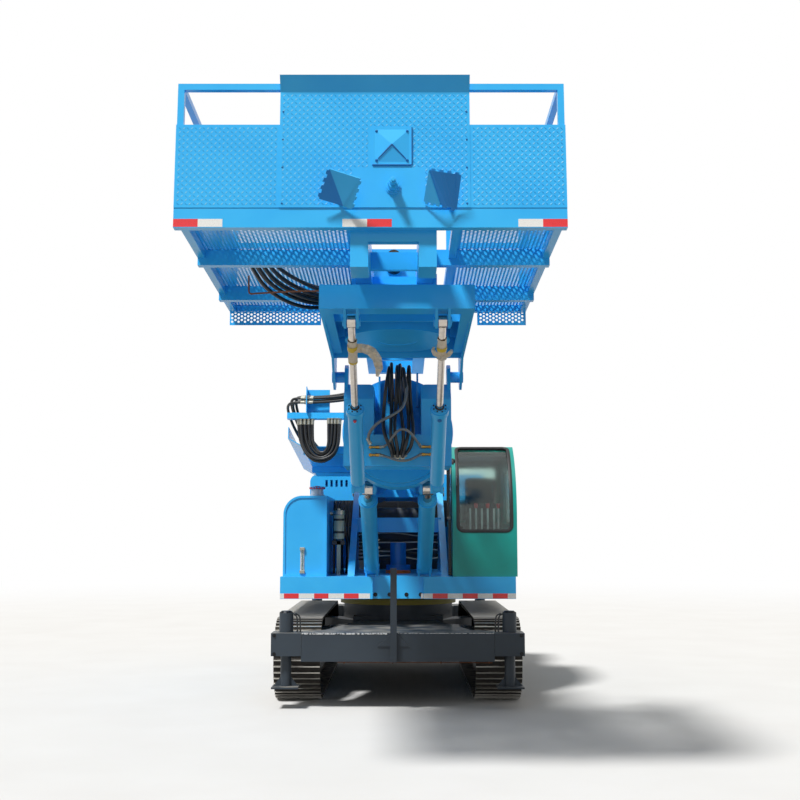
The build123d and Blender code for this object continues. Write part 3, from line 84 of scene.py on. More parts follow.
def linear(hex_text):
    """The linear colour of an sRGB hex value."""
    parts = [int(hex_text[at : at + 2], 16) / 255 for at in (1, 3, 5)]
    return [c / 12.92 if c <= 0.04045 else ((c + 0.055) / 1.055) ** 2.4 for c in parts] + [1.0]


def add(tree, kind, inputs=(), **settings):
    """Adds a node; settings are its properties, inputs are its sockets with a value or a link."""
    node = tree.nodes.new(kind)
    for name, value in settings.items():
        setattr(node, name, value)
    for socket, value in dict(inputs).items():
        if isinstance(value, bpy.types.NodeSocket):
            tree.links.new(value, node.inputs[socket])
        else:
            node.inputs[socket].default_value = value
    return node


def new_material(name, **values):
    """A material and its shader, with constant values on the shader's own sockets."""
    material = bpy.data.materials.new(name)
    material.use_nodes = True
    shader = material.node_tree.nodes["Principled BSDF"]
    for socket, value in values.items():
        shader.inputs[socket.replace("_", " ")].default_value = value
    return material, material.node_tree, shader


print("one millimetre is", MM, "m")

# %% [markdown]
# A few patterns come back in nearly every material: grains of a real size, a mix of two tones, a value
# stretched to another range, a sum and a bump. Each has a short function, so that a material below reads
# as a list of what its surface really has.

# %% Patterns that come back
def position(tree):
    """Where a point is, in metres."""
    return add(tree, "ShaderNodeNewGeometry").outputs["Position"]


def grains(tree, grain_mm, detail, roughness=0.5, where=None):
    """A noise with grains of a real size."""
    values = {"Vector": position(tree) if where is None else where, "Scale": 1 / (grain_mm * MM)}
    values.update({"Detail": detail, "Roughness": roughness})
    return add(tree, "ShaderNodeTexNoise", values).outputs["Fac"]


def two_tones(tree, share, light, deep):
    """Mixes two tones by a share; a tone is a hex value or a link."""
    first, second = [linear(tone) if isinstance(tone, str) else tone for tone in (light, deep)]
    values = {"Factor": share, "A": first, "B": second}
    return add(tree, "ShaderNodeMix", values, data_type="RGBA").outputs["Result"]


def stretch(tree, value, low, high, start=0.0, end=1.0, **settings):
    """Stretches a value's range, from start and end to low and high."""
    values = {"Value": value, "From Min": start, "From Max": end, "To Min": low, "To Max": high}
    return add(tree, "ShaderNodeMapRange", values, **settings).outputs["Result"]


def reckon(tree, operation, first, second):
    """One sum of two values."""
    return add(tree, "ShaderNodeMath", {0: first, 1: second}, operation=operation).outputs["Value"]


def distance(tree, vector):
    """The length of a vector."""
    return add(tree, "ShaderNodeVectorMath", {0: vector}, operation="LENGTH").outputs["Value"]


def bump(tree, height, high_mm, strength, below=None):
    """A relief of a real height, on top of the one below it."""
    values = {"Height": height, "Distance": high_mm * MM, "Strength": strength}
    if below is not None:
        values["Normal"] = below
    return add(tree, "ShaderNodeBump", values).outputs["Normal"]


def feed(tree, shader, **results):
    """Links results to the shader's sockets."""
    for socket, result in results.items():
        tree.links.new(result, shader.inputs[socket.replace("_", " ")])


print("patterns ready")

# %% [markdown]
# Sprayed enamel on welded steel is the finish that covers most of the machine. The eye knows it by three
# things: a clear gloss, the slight swell of plates that welding has pulled, and dust that settles on
# whatever faces up. The swell is a slow noise of 350 mm, far wider than the fine orange peel that lies
# over it. Dust is mixed in by the height of the surface normal.

# %% Enamel paint
SKY_BLUE = "#45C6FF"
SKY_BLUE_DEEP = "#2AAEF6"
DUST = "#B8B2A4"
DUSTY_ROUGHNESS = 0.85
SWELL_MM = 350
PEEL_MM = 14


def dusted(tree, colour, dust_share, grain_mm):
    """Mixes yard dust over a colour, on faces that look up, in patches of grain_mm."""
    normal = add(tree, "ShaderNodeNewGeometry").outputs["Normal"]
    upward = add(tree, "ShaderNodeSeparateXYZ", {"Vector": normal}).outputs["Z"]
    up = stretch(tree, upward, 0.0, 1.0, 0.3, 1.0)
    patch = stretch(tree, grains(tree, grain_mm, 4.0), 0.0, dust_share, 0.35, 0.75)
    dust = reckon(tree, "MULTIPLY", up, patch)
    return two_tones(tree, dust, colour, DUST), dust


def enamel(name, light, deep, roughness=0.3, dust_share=0.18):
    """Sprayed two-pack enamel on welded steel plate."""
    material, tree, shader = new_material(name, Specular_IOR_Level=0.3, Coat_Weight=0.1, Coat_Roughness=0.08)
    broad = grains(tree, SWELL_MM, 3.0)
    colour, dust = dusted(tree, two_tones(tree, broad, light, deep), dust_share, 180)
    swell = bump(tree, broad, 2, 1.0)
    peel = bump(tree, grains(tree, PEEL_MM, 2.0), 0.12, 0.6, swell)
    gloss = stretch(tree, dust, roughness, DUSTY_ROUGHNESS)
    feed(tree, shader, Base_Color=colour, Roughness=gloss, Normal=peel)
    return material


sky_blue_enamel = enamel("sky_blue_enamel", SKY_BLUE, SKY_BLUE_DEEP)
teal_enamel = enamel("teal_enamel", "#0BA396", "#078A80")
# a shaded copy of the sky blue: painted shade for parts that stand in shade
shaded_enamel = enamel("shaded_blue_enamel", "#1A78C0", "#125E9C", roughness=0.4)
charcoal_enamel = enamel("charcoal_enamel", "#3A444D", "#2E363E", roughness=0.5, dust_share=0.6)
ring_yellow_enamel = enamel("ring_yellow_enamel", "#B0A030", "#8A7A28", roughness=0.55, dust_share=0.7)
motor_orange_enamel = enamel("motor_orange_enamel", "#E06A30", "#C85824", roughness=0.4)
print("enamels", SKY_BLUE, "and five more")

# %% [markdown]
# The other metals are bare. A track shoe is cast steel that rusts in its hollows and is polished on the
# tips of its lugs, so the mask is worked out from how far a point lies outside the loop of the shoes.
# Cylinder rods are ground and hard chromed, which leaves a near mirror with a faint film on it.

# %% Bare metals
track_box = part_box("tracks")
TRACK_MID_Z = (track_box[0].z + track_box[1].z) / 2
TRACK_OUT = (track_box[1].z - track_box[0].z) / 2
AXLE_Y = track_box[1].y - TRACK_OUT
LUG_HEIGHT = 20 * MM


def cast_track_steel():
    """Manganese steel shoes: rust brown in the hollows, polished on the lug tips."""
    material, tree, shader = new_material("cast_track_steel")
    point = add(tree, "ShaderNodeSeparateXYZ", {"Vector": position(tree)}).outputs
    limits = {"Value": point["Y"], "Min": -AXLE_Y, "Max": AXLE_Y}
    near = add(tree, "ShaderNodeClamp", limits).outputs["Result"]
    along = reckon(tree, "SUBTRACT", point["Y"], near)
    above = reckon(tree, "SUBTRACT", point["Z"], TRACK_MID_Z)
    spoke = add(tree, "ShaderNodeCombineXYZ", {"X": along, "Y": above}).outputs["Vector"]
    tip = stretch(tree, distance(tree, spoke), 0.0, 1.0, TRACK_OUT - 0.3 * LUG_HEIGHT, TRACK_OUT)
    rust = grains(tree, 60, 6.0, 0.7)
    brown = two_tones(tree, rust, "#1D1F20", "#4B4640")
    colour, dust = dusted(tree, two_tones(tree, tip, brown, "#C9C6BE"), 0.6, 70)
    feed(tree, shader, Base_Color=colour, Metallic=stretch(tree, tip, 0.35, 0.95),
         Roughness=stretch(tree, tip, 0.75, 0.35), Normal=bump(tree, rust, 2, 0.7))
    return material


def bare_metal(name, light, deep, smooth, rough, grain_mm=35, detail=5.0):
    """Ground, turned or plated metal under a faint film, which varies its roughness."""
    material, tree, shader = new_material(name, Metallic=1.0)
    film = grains(tree, grain_mm, detail)
    tone = two_tones(tree, film, light, deep)
    feed(tree, shader, Base_Color=tone, Roughness=stretch(tree, film, smooth, rough))
    return material


cast_track = cast_track_steel()
chrome = bare_metal("hard_chrome", "#D8CEC2", "#A9A29C", 0.08, 0.22, grain_mm=25, detail=3.0)
zinc_plate = bare_metal("zinc_plated_steel", "#B9B7A8", "#8E8C82", 0.30, 0.55)
oiled_steel = bare_metal("oiled_steel", "#55524D", "#2B2A28", 0.35, 0.60)
black_oxide = bare_metal("black_oxide_steel", "#3C3D3F", "#1E1F20", 0.35, 0.60)
brass = bare_metal("brass_fitting", "#B8904A", "#8C6A34", 0.25, 0.50)
print("track loop: axle at", round(AXLE_Y, 3), "outer radius", round(TRACK_OUT, 3))

# %% [markdown]
# Rubber, plastic, glass, paper and cloth need little more than their own roughness and one fine pattern.
# Glass is a real transmissive material with the IOR of float glass and a faint green body colour, so that
# the cab's seat and levers stay visible behind its reflection.

# %% Rubber, plastic, glass, paper and cloth
def speckled(name, light, deep, grain_mm, roughness, bump_mm=0.2, **values):
    """A moulded or woven surface: two close tones in grains of a real size, with a fine bump."""
    material, tree, shader = new_material(name, **values)
    grain = grains(tree, grain_mm, 3.0)
    tone = two_tones(tree, grain, light, deep)
    rough = stretch(tree, grain, roughness - 0.08, roughness + 0.08)
    feed(tree, shader, Base_Color=tone, Roughness=rough, Normal=bump(tree, grain, bump_mm, 0.6))
    return material


hose_rubber = speckled("wrapped_hose_rubber", "#1E2022", "#101112", 6, 0.42)
spiral_guard = speckled("spiral_hose_guard", "#9A9C98", "#4A4C4C", 9, 0.35, 0.8)
seal_rubber = speckled("seal_rubber", "#17191A", "#0E0F10", 10, 0.55)
black_abs = speckled("black_abs_plastic", "#26282A", "#191B1C", 4, 0.5)
lining_abs = speckled("grey_abs_lining", "#8C9093", "#7A7E82", 6, 0.55)
filter_card = speckled("filter_can_enamel", "#CFC6A6", "#B9AE8C", 40, 0.4)
black_pipe = speckled("black_pipe_enamel", "#2A2D30", "#17191B", 20, 0.35)
rusty_bar = speckled("rusted_round_bar", "#8A5534", "#5C3420", 12, 0.75, 0.6)
white_plastic = speckled("white_polypropylene", "#DADDE0", "#C4C8CC", 30, 0.4)
red_plastic = speckled("red_polypropylene", "#D8323A", "#B82830", 20, 0.4)
masking_paper = speckled("brown_masking_paper", "#FFF2DC", "#C9B89E", 38, 0.75, 0.8)
yellow_tape = speckled("yellow_vinyl_tape", "#E8C93A", "#D0AE28", 30, 0.4)
seat_cloth = speckled("woven_seat_cloth", "#3A3D42", "#24262A", 3, 0.85, 0.5, Sheen_Weight=0.4)
float_glass = speckled("tinted_float_glass", "#CFE3DE", "#C6DCD6", 500, 0.1, 0.0, Transmission_Weight=1.0,
                       IOR=1.5)
print("soft materials ready")

# %% [markdown]
# The frame's parts come in with plain grey. Each gets its finish from a short table of names, so that a
# reader sees at once which material goes where.

# %% Finish of each part
FINISHES = {
    sky_blue_enamel: "deck boom_support hydraulic_tank engine_hood engine_side_panels counterweight "
    "boom_outer boom_inner telescope_barrel hose_tray head_bracket tilt_frame swing_sled mast platform_frame "
    "platform_floor platform_front_plate platform_railing platform_side_panels drill_port_cover front_claws "
    "rotary_head luff_barrels tilt_barrels",
    # the slewing motor takes the shaded blue: painted shade
    shaded_enamel: "slewing_motor",
    teal_enamel: "cab_shell cab_door",
    charcoal_enamel: "car_body track_frames jack_frames jack_leg_front_left jack_leg_front_right "
    "jack_leg_rear_left jack_leg_rear_right engine_block air_cleaner",
    cast_track: "tracks",
    oiled_steel: "track_wheels spindle",
    ring_yellow_enamel: "slew_ring_outer slew_ring_inner",
    chrome: "luff_rods tilt_rods telescope_rod",
    float_glass: "cab_glass cab_door_glass",
    filter_card: "return_filter",
    black_abs: "cab_console",
    seat_cloth: "cab_seat",
    hose_rubber: "platform_hoses trough_hoses cross_hoses tray_hoses head_hoses deck_hoses",
}
dressed = set()
for material, names in FINISHES.items():
    for name in names.split():
        mesh = nodes[name].data
        mesh.materials.clear()
        mesh.materials.append(material)
        dressed.add(name)
print("dressed", len(dressed), "of", len(nodes), "left", sorted(set(nodes) - dressed))

# %% [markdown]
# The photograph was taken from eye height, 13 m in front of the slewing axis, with the camera pitched up a
# few degrees. A lens of 52.5 mm on a 36 mm square sensor gives the same field of view.

# %% Camera
EYE_HEIGHT = 1.654
EYE_DISTANCE = 13.2
EYE_SIDE = 0.02
PITCH_UP = math.radians(6.36)
LENS_MM = 52.5
camera_data = bpy.data.cameras.new("camera")
camera_data.lens = LENS_MM
camera_data.clip_end = 400
camera = bpy.data.objects.new("camera", camera_data)
camera.location = (EYE_SIDE, -EYE_DISTANCE, EYE_HEIGHT)
camera.rotation_euler = (math.pi / 2 + PITCH_UP, 0, 0)
bpy.context.scene.collection.objects.link(camera)
bpy.context.scene.camera = camera
print("camera at", tuple(camera.location))

# %% [markdown]
# A studio for a large machine is a pale floor under a bright sky. The floor is real and takes the shadow;
# far away it fades to the white of the background, which the camera, mirrors and glass all see. One soft
# key lamp from the upper left and a wide sky do all the lighting, at a level where a colour renders about
# as it is written. For light that bounces, the floor counts as a darker grey, so that shade keeps its depth.

# %% Floor
FLOOR_HALF = 150.0
FADE_FROM = 9.0
FADE_TO = 26.0
FLOOR_FOR_LIGHT = "#8E8D8A"
stage_objects = bpy.context.scene.collection.objects


def floor_material():
    """Pale floor that keeps the shadow nearby and fades to plain white far away."""
    material, tree, shader = new_material("pale_studio_floor", Roughness=0.9, Specular_IOR_Level=0.2)
    tone = two_tones(tree, grains(tree, 900, 4.0), "#E0DFDC", "#D7D5D1")
    path = add(tree, "ShaderNodeLightPath").outputs
    bounce = two_tones(tree, path["Is Diffuse Ray"], tone, FLOOR_FOR_LIGHT)
    feed(tree, shader, Base_Color=bounce)
    away = distance(tree, position(tree))
    fade = stretch(tree, away, 0.0, 1.0, FADE_FROM, FADE_TO, interpolation_type="SMOOTHSTEP")
    seen = reckon(tree, "MAXIMUM", path["Is Camera Ray"], path["Is Glossy Ray"])
    share = reckon(tree, "MULTIPLY", fade, seen)
    glow = add(tree, "ShaderNodeEmission", {"Color": linear("#FFFFFF"), "Strength": 1.0}).outputs["Emission"]
    blend = add(tree, "ShaderNodeMixShader", {"Fac": share, 1: shader.outputs["BSDF"], 2: glow})
    tree.links.new(blend.outputs["Shader"], tree.nodes["Material Output"].inputs["Surface"])
    return material


floor_mesh = bpy.data.meshes.new("studio_floor")
corners = [(x * FLOOR_HALF, y * FLOOR_HALF, 0) for x, y in ((-1, -1), (1, -1), (1, 1), (-1, 1))]
floor_mesh.from_pydata(corners, [], [(0, 1, 2, 3)])
studio_floor = bpy.data.objects.new("studio_floor", floor_mesh)
floor_mesh.materials.append(floor_material())
stage_objects.link(studio_floor)
print("floor of", 2 * FLOOR_HALF, "m, white beyond", FADE_TO, "m")

# %% [markdown]
# The sky is white wherever it is seen, directly, through glass or in a reflection, and weaker as a source
# of light. The key lamp is a sun, nine degrees wide, which gives shadows the soft border of a large lamp.

# %% Sky and key lamp
SKY_LIGHT = 0.33
KEY_STRENGTH = 3.7
KEY_SOFTNESS = math.radians(9)
KEY_WAY = Vector((0.385, 0.49, -0.95))

world = bpy.data.worlds.new("studio_sky")
world.use_nodes = True
bpy.context.scene.world = world
sky = world.node_tree
background = sky.nodes["Background"].inputs
path = add(sky, "ShaderNodeLightPath").outputs
seen = reckon(sky, "MAXIMUM", path["Is Camera Ray"], path["Is Glossy Ray"])
through = reckon(sky, "MAXIMUM", seen, path["Is Transmission Ray"])
background["Color"].default_value = (1, 1, 1, 1)
sky.links.new(stretch(sky, through, SKY_LIGHT, 1.0), background["Strength"])

key_lamp = bpy.data.lights.new("key_lamp", "SUN")
key_lamp.energy = KEY_STRENGTH
key_lamp.angle = KEY_SOFTNESS
key = bpy.data.objects.new("key_lamp", key_lamp)
key.rotation_euler = KEY_WAY.to_track_quat("-Z", "Y").to_euler()
stage_objects.link(key)
bpy.context.scene.view_settings.view_transform = "Standard"
print("key lamp", KEY_STRENGTH, "sky", SKY_LIGHT)

# %% [markdown]
# Small parts are placed in the machine's own slanted frames: the boom's, and the tilted plane in which mast
# and platform lie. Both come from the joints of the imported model, so they follow it if it changes.

# %% Slanted frames
joints = {joint["name"]: joint for joint in frame["record"]["behaviour"]["joints"]}


def slanted(origin, up):
    """A frame at a point, with X across the machine and Z along a joint's axis."""
    z_way = Vector(up)
    x_way = Vector((1, 0, 0))
    y_way = z_way.cross(x_way)
    turn = Matrix((x_way, y_way, z_way)).transposed().to_4x4()
    return Matrix.Translation(Vector(origin)) @ turn


def in_frame(node, place):
    """The lowest and highest corners of a part's mesh, measured in a slanted frame."""
    back = place.inverted()
    points = [back @ vertex.co for vertex in nodes[node].data.vertices]
    low = Vector([min(point[axis] for point in points) for axis in range(3)])
    high = Vector([max(point[axis] for point in points) for axis in range(3)])
    return low, high


GROUND = Matrix.Identity(4)
BOOM = slanted(joints["luff"]["pos_m"], joints["telescope"]["axis"])
MAST = slanted(joints["mast_swing"]["pos_m"], joints["mast_swing"]["axis"])
for title, place in (("boom", BOOM), ("mast", MAST)):
    print(title, "frame at", tuple(round(c, 3) for c in place.translation))

# %% [markdown]
# A few short functions draw boxes and round bars into a bmesh, with their edges broken as on real sheet
# metal, and join loops of points with faces.

# %% Drawing functions
import bmesh

BREAK = 1.5 * MM      # how far the edges of a cut plate are broken


def on_circle(count, first=0.0):
    """The cosine and the sine of angles spread evenly round a circle."""
    angles = [first + 2 * math.pi * index / count for index in range(count)]
    return [(math.cos(angle), math.sin(angle)) for angle in angles]


def skin(bm, loops, closed=False, inward=False):
    """Joins loops of points with quads, and the last loop with the first one if it is closed."""
    for low, high in zip(loops, loops[1:] + (loops[:1] if closed else [])):
        for side in range(len(low)):
            after = (side + 1) % len(low)
            if inward:
                bm.faces.new((low[side], high[side], high[after], low[after]))
            else:
                bm.faces.new((low[side], low[after], high[after], high[side]))


def plain_bmesh(points, faces):
    """A bmesh of points and faces that are already worked out."""
    mesh = bpy.data.meshes.new("plain")
    mesh.from_pydata(points, [], faces)
    bm = bmesh.new()
    bm.from_mesh(mesh)
    bpy.data.meshes.remove(mesh)
    return bm


def add_box(bm, x, y, z, edge=BREAK):
    """A box between pairs of coordinates, with broken edges."""
    size = (abs(x[1] - x[0]), abs(y[1] - y[0]), abs(z[1] - z[0]))
    middle = Vector(((x[0] + x[1]) / 2, (y[0] + y[1]) / 2, (z[0] + z[1]) / 2))
    place = Matrix.Translation(middle) @ Matrix.Diagonal((*size, 1))
    made = bmesh.ops.create_cube(bm, size=1.0, matrix=place)
    if edge and min(size) > 2.5 * edge:
        edges = {e for v in made["verts"] for e in v.link_edges}
        bmesh.ops.bevel(bm, geom=list(edges), offset=edge, segments=1, affect="EDGES")


def add_round(bm, start, end, radius, sides=20, end_radius=None, edge=BREAK):
    """A round bar or cone from one point to another, with broken rims."""
    start, end = Vector(start), Vector(end)
    along = end - start
    last = radius if end_radius is None else end_radius
    edge = min(edge, along.length / 4, radius / 3)
    rings = ((0, radius - edge), (edge, radius), (along.length - edge, last), (along.length, last - edge))
    turn = Vector((0, 0, 1)).rotation_difference(along).to_matrix()
    loops = []
    for height, wide in rings:
        spots = [turn @ Vector((wide * c, wide * s, height)) for c, s in on_circle(sides)]
        loops.append([bm.verts.new(start + spot) for spot in spots])
    skin(bm, loops)
    bm.faces.new(list(reversed(loops[0])))
    bm.faces.new(loops[-1])


print("boxes and bars ready")

# %% [markdown]
# A bolt is a hexagon head on a washer, and bolts often stand in a ring. The last two functions make an
# object that rides with a body: one of a bmesh, the other straight from a list of drawings, so that most
# of the pieces below are no more than a table of their measures.

# %% Bolts and finished pieces
WASHER_T = 2.5 * MM
SMOOTH_BELOW = math.radians(35)


def add_bolt(bm, at, way, across=19 * MM, height=9 * MM):
    """A hexagon head on a washer, standing on a face."""
    at, way = Vector(at), Vector(way).normalized()
    washer_top = at + way * WASHER_T
    add_round(bm, at, washer_top, across * 0.95, 16, edge=0.4 * MM)
    add_round(bm, washer_top, at + way * (WASHER_T + height), across * 0.57, 6, edge=1.2 * MM)


def bolt_ring(bm, centre, way, radius, count, across):
    """Bolts on a circle round an axis."""
    centre, way = Vector(centre), Vector(way).normalized()
    side = way.orthogonal().normalized()
    other = way.cross(side)
    for c, s in on_circle(count):
        add_bolt(bm, centre + (side * c + other * s) * radius, way, across, across * 0.6)


def finished(bm, name, material, body, place=GROUND, smooth=True):
    """Turns a bmesh into an object in its place, with its finish and its body."""
    bmesh.ops.transform(bm, matrix=place, verts=bm.verts)
    mesh = bpy.data.meshes.new(name)
    bm.to_mesh(mesh)
    bm.free()
    mesh.materials.append(material)
    piece = bpy.data.objects.new(name, mesh)
    stage_objects.link(piece)
    if smooth:
        mesh.set_sharp_from_angle(angle=SMOOTH_BELOW)
        for face in mesh.polygons:
            face.use_smooth = True
    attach(piece, body)
    return piece


def built(name, material, body, *drawings, place=GROUND):
    """A piece from drawings: each is a drawing function, then the values of every call of it."""
    bm = bmesh.new()
    for draw, *calls in drawings:
        for values in calls:
            draw(bm, *values)
    return finished(bm, name, material, body, place)


print("drawing functions ready")

# %% [markdown]
# Hoses and pipes are both a curve with a round bevel. Their line is a NURBS spline through few points, so
# it bends as smoothly as wire-braided rubber or a drawn tube does. A pipe is turned into a mesh at once, so
# that several make one piece.

# %% Curves for hoses and pipes
def round_curve(name, points, thick, resolution):
    """A round bar along a spline through points in metres, which starts and ends at the outer ones."""
    curve = bpy.data.curves.new(name, "CURVE")
    curve.dimensions = "3D"
    spline = curve.splines.new("NURBS")
    spline.points.add(len(points) - 1)
    for spot, point in zip(spline.points, points):
        spot.co = (*point, 1)
    spline.order_u = 3
    spline.use_endpoint_u = True
    spline.resolution_u = resolution
    curve.bevel_depth = thick / 2
    curve.bevel_resolution = 3
    curve.use_fill_caps = True
    return curve


def add_pipe(bm, points, thick):
    """A bent pipe through points in metres."""
    curve = round_curve("pipe_line", points, thick, 8)
    holder = bpy.data.objects.new("pipe_line", curve)
    mesh = bpy.data.meshes.new_from_object(holder)
    bm.from_mesh(mesh)
    bpy.data.objects.remove(holder)
    bpy.data.curves.remove(curve)
    bpy.data.meshes.remove(mesh)


print("curves ready")

# %% [markdown]
# Reflective tape is a plastic film of red and white lengths, each 150 mm long and 50 mm high. It lies a
# fraction of a millimetre proud of the paint. Its sealed cells give it a soft even glow, so the material
# is bright and rough, with a honeycomb of 5 mm cells in its colour and gloss.

# %% Reflective tape
TAPE_LONG = 150 * MM
TAPE_HIGH = 50 * MM
TAPE_T = 0.6 * MM
TAPE_OFF = 4 * MM
BEAM_BASE = 140 * MM


def tape_film(name, light, deep):
    """Prismatic film: sealed honeycomb cells under a smooth face."""
    material, tree, shader = new_material(name, Coat_Weight=0.5, Coat_Roughness=0.1)
    values = {"Vector": position(tree), "Scale": 1 / (5 * MM)}
    cells = add(tree, "ShaderNodeTexVoronoi", values, feature="DISTANCE_TO_EDGE").outputs["Distance"]
    seal = stretch(tree, cells, 0.0, 1.0, 0.0, 0.08)
    feed(tree, shader, Base_Color=two_tones(tree, seal, deep, light), Roughness=stretch(tree, seal, 0.6, 0.4))
    return material


red_tape = tape_film("red_reflective_film", "#F0242C", "#C01820")
white_tape = tape_film("white_reflective_film", "#F4F3EE", "#D2D0C8")


def tape_row(name, places, face, base, body, place=GROUND):
    """Tape on a face across the machine: columns are the left end, the length and whether it is red."""
    for red, material in ((True, red_tape), (False, white_tape)):
        bm = bmesh.new()
        for left, long, is_red in places:
            if is_red == red:
                add_box(bm, (left, left + long), (face - TAPE_T, face), (base, base + TAPE_HIGH), 0)
        finished(bm, f"{name}_{'red' if red else 'white'}", material, body, place, smooth=False)


plat_low, plat_high = in_frame("platform_frame", MAST)
left_end, right_end = plat_low.x, plat_high.x
PLATFORM_TAPES = ((left_end, TAPE_LONG, True), (left_end + TAPE_LONG, TAPE_LONG, False),
                  (-0.33, TAPE_LONG, False), (-0.18, TAPE_LONG, True),
                  (right_end - 2 * TAPE_LONG, TAPE_LONG, False), (right_end - TAPE_LONG, TAPE_LONG, True))
tape_row("platform_tape", PLATFORM_TAPES, plat_low.y, BEAM_BASE + TAPE_OFF, "mast", MAST)
deck_low = in_frame("deck", GROUND)[0]
DECK_TAPES = ((-1.18, 0.04, False), (-1.14, 0.148, True), (-0.992, 0.154, False), (-0.838, 0.143, True),
              (-0.695, 0.155, False), (-0.54, 0.147, True), (-0.393, 0.113, False), (0.23, 0.117, False),
              (0.347, 0.15, True), (0.497, 0.15, False), (0.647, 0.15, True), (0.797, 0.15, False),
              (0.947, 0.15, True), (1.097, 0.083, False))
tape_row("deck_tape", DECK_TAPES, deck_low.y, deck_low.z + TAPE_OFF, "upper")
print("tape lengths", len(PLATFORM_TAPES) + len(DECK_TAPES))

# %% [markdown]
# The floors and side panels of the platform are perforated sheet: 20 mm holes in staggered rows, 30 mm
# apart, punched in 3 mm plate. From below the sky shows through them, so real holes are cut. Each
# hole is one small cell of eight quads on either face and eight more for its wall. All cells of a sheet are
# worked out as one array, because a boolean of thousands of holes would take minutes.

# %% Perforated sheet
import numpy as np

HOLE_R = 10 * MM
HOLE_PITCH = 30 * MM
HOLE_RANK = HOLE_PITCH * math.sqrt(3) / 2
SHEET_T = 3 * MM
SHEET_EDGE = 18 * MM
SKIRT_EDGE = 5 * MM


def perforated(name, wide, deep, body, place, replaced, edge=SHEET_EDGE):
    """A sheet from the frame's origin, wide along X and deep along Y, with its top at Z = 0."""
    ranks = int((wide - 2 * edge) / HOLE_RANK)
    rows = int((deep - 2 * edge) / HOLE_PITCH - 0.5)
    x0 = (wide - ranks * HOLE_RANK) / 2
    y0 = (deep - (rows + 0.5) * HOLE_PITCH) / 2
    half_x, half_y = HOLE_RANK / 2, HOLE_PITCH / 2
    rim = [(math.cos(a) * HOLE_R, math.sin(a) * HOLE_R) for a in np.arange(8) * math.pi / 4]
    outer = [(half_x, 0), (half_x, half_y), (0, half_y), (-half_x, half_y), (-half_x, 0), (-half_x, -half_y),
             (0, -half_y), (half_x, -half_y)]
    ring = np.array(outer + rim)
    cell = np.vstack([np.column_stack([ring, np.zeros(16)]), np.column_stack([ring, np.full(16, -SHEET_T)])])
    turn = [(k, (k + 1) % 8) for k in range(8)]
    faces = [(a, b, b + 8, a + 8) for a, b in turn]
    faces += [(b + 16, a + 16, a + 24, b + 24) for a, b in turn]
    faces += [(a + 8, b + 8, b + 24, a + 24) for a, b in turn]
    centres = [(x0 + (i + 0.5) * HOLE_RANK, y0 + (j + 0.5 + 0.5 * (i % 2)) * HOLE_PITCH, 0)
               for i in range(ranks) for j in range(rows)]
    centres = np.array(centres)
    points = (centres[:, None, :] + cell[None, :, :]).reshape(-1, 3)
    starts = np.arange(len(centres)) * 32
    quads = (starts[:, None, None] + np.array(faces)[None, :, :]).reshape(-1, 4)
    bm = plain_bmesh(points.tolist(), quads.tolist())
    end_y = y0 + (rows + 0.5) * HOLE_PITCH
    end_x = x0 + ranks * HOLE_RANK
    sheet_z = (-SHEET_T, 0)
    margins = (((0, wide), (0, y0)), ((0, wide), (end_y, deep)),
               ((0, x0), (y0, end_y)), ((end_x, wide), (y0, end_y)))
    for x, y in margins:
        add_box(bm, x, y, sheet_z, 0)
    for i in range(ranks):
        x = (x0 + i * HOLE_RANK, x0 + (i + 1) * HOLE_RANK)
        spare = (end_y - half_y, end_y) if i % 2 == 0 else (y0, y0 + half_y)
        add_box(bm, x, spare, sheet_z, 0)
    sheet = finished(bm, name, sky_blue_enamel, body, place, smooth=False)
    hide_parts(replaced)
    return ranks * rows


print("a hole is", 2 * HOLE_R, "m wide")

# %% [markdown]
# Two floors lie left and right of the mast, two panels stand on the sides, and two short skirts hang
# from the floors' rear ends. A panel and a skirt are turned from the flat by a quarter of a circle.

# %% Floors, side panels and skirts
floor_low, floor_high = in_frame("platform_floor", MAST)
FLOOR_LEFT_X = -300 * MM
FLOOR_RIGHT_X = 400 * MM
SKIRT_LEFT_X = -620 * MM
SKIRT_RIGHT_X = 646 * MM
SKIRT_BACK = 64 * MM
SKIRT_HIGH = 163 * MM
deep = floor_high.y - floor_low.y
panel_low, panel_high = in_frame("platform_side_panels", MAST)
stand = Matrix.Rotation(math.radians(-90), 4, "Y")
holes = 0
for name, x0, x1 in (("left_floor", floor_low.x, FLOOR_LEFT_X), ("right_floor", FLOOR_RIGHT_X, floor_high.x)):
    corner = MAST @ Matrix.Translation((x0, floor_low.y, floor_high.z))
    holes += perforated(f"perforated_{name}", x1 - x0, deep, "mast", corner, "platform_floor")
for name, x in (("left_panel", panel_low.x), ("right_panel", panel_high.x - SHEET_T)):
    corner = MAST @ Matrix.Translation((x, panel_low.y, panel_low.z)) @ stand
    tall = panel_high.z - panel_low.z
    holes += perforated(f"perforated_{name}", tall, deep, "mast", corner, "platform_side_panels")
face_on = Matrix.Rotation(math.radians(90), 4, "X")
for name, x0, x1 in (("left_skirt", floor_low.x, SKIRT_LEFT_X), ("right_skirt", SKIRT_RIGHT_X, floor_high.x)):
    corner = MAST @ Matrix.Translation((x0, floor_high.y - SKIRT_BACK, floor_low.z)) @ face_on
    holes += perforated(f"perforated_{name}", x1 - x0, SKIRT_HIGH, "mast", corner, "platform_floor",
                        SKIRT_EDGE)
print("holes", holes)

# %% [markdown]
# The front plates are checker plate: raised lozenges in pairs at right angles, about 24 mm apart and 2.4 mm
# high. A bump map would miss the glint on each ridge, so every lozenge is a small roof of six faces. Those of
# one slant get a pale gloss paint, which is a painted glint. The others get a darker blue, which is painted
# shade. This is what makes the weave of the plate visible from afar. The plate stays smooth between the
# claws.

# %% Checker plate
LOZENGE_PITCH = 24 * MM
LOZENGE_LONG = 26 * MM
LOZENGE_WIDE = 8 * MM
LOZENGE_HIGH = 2.4 * MM
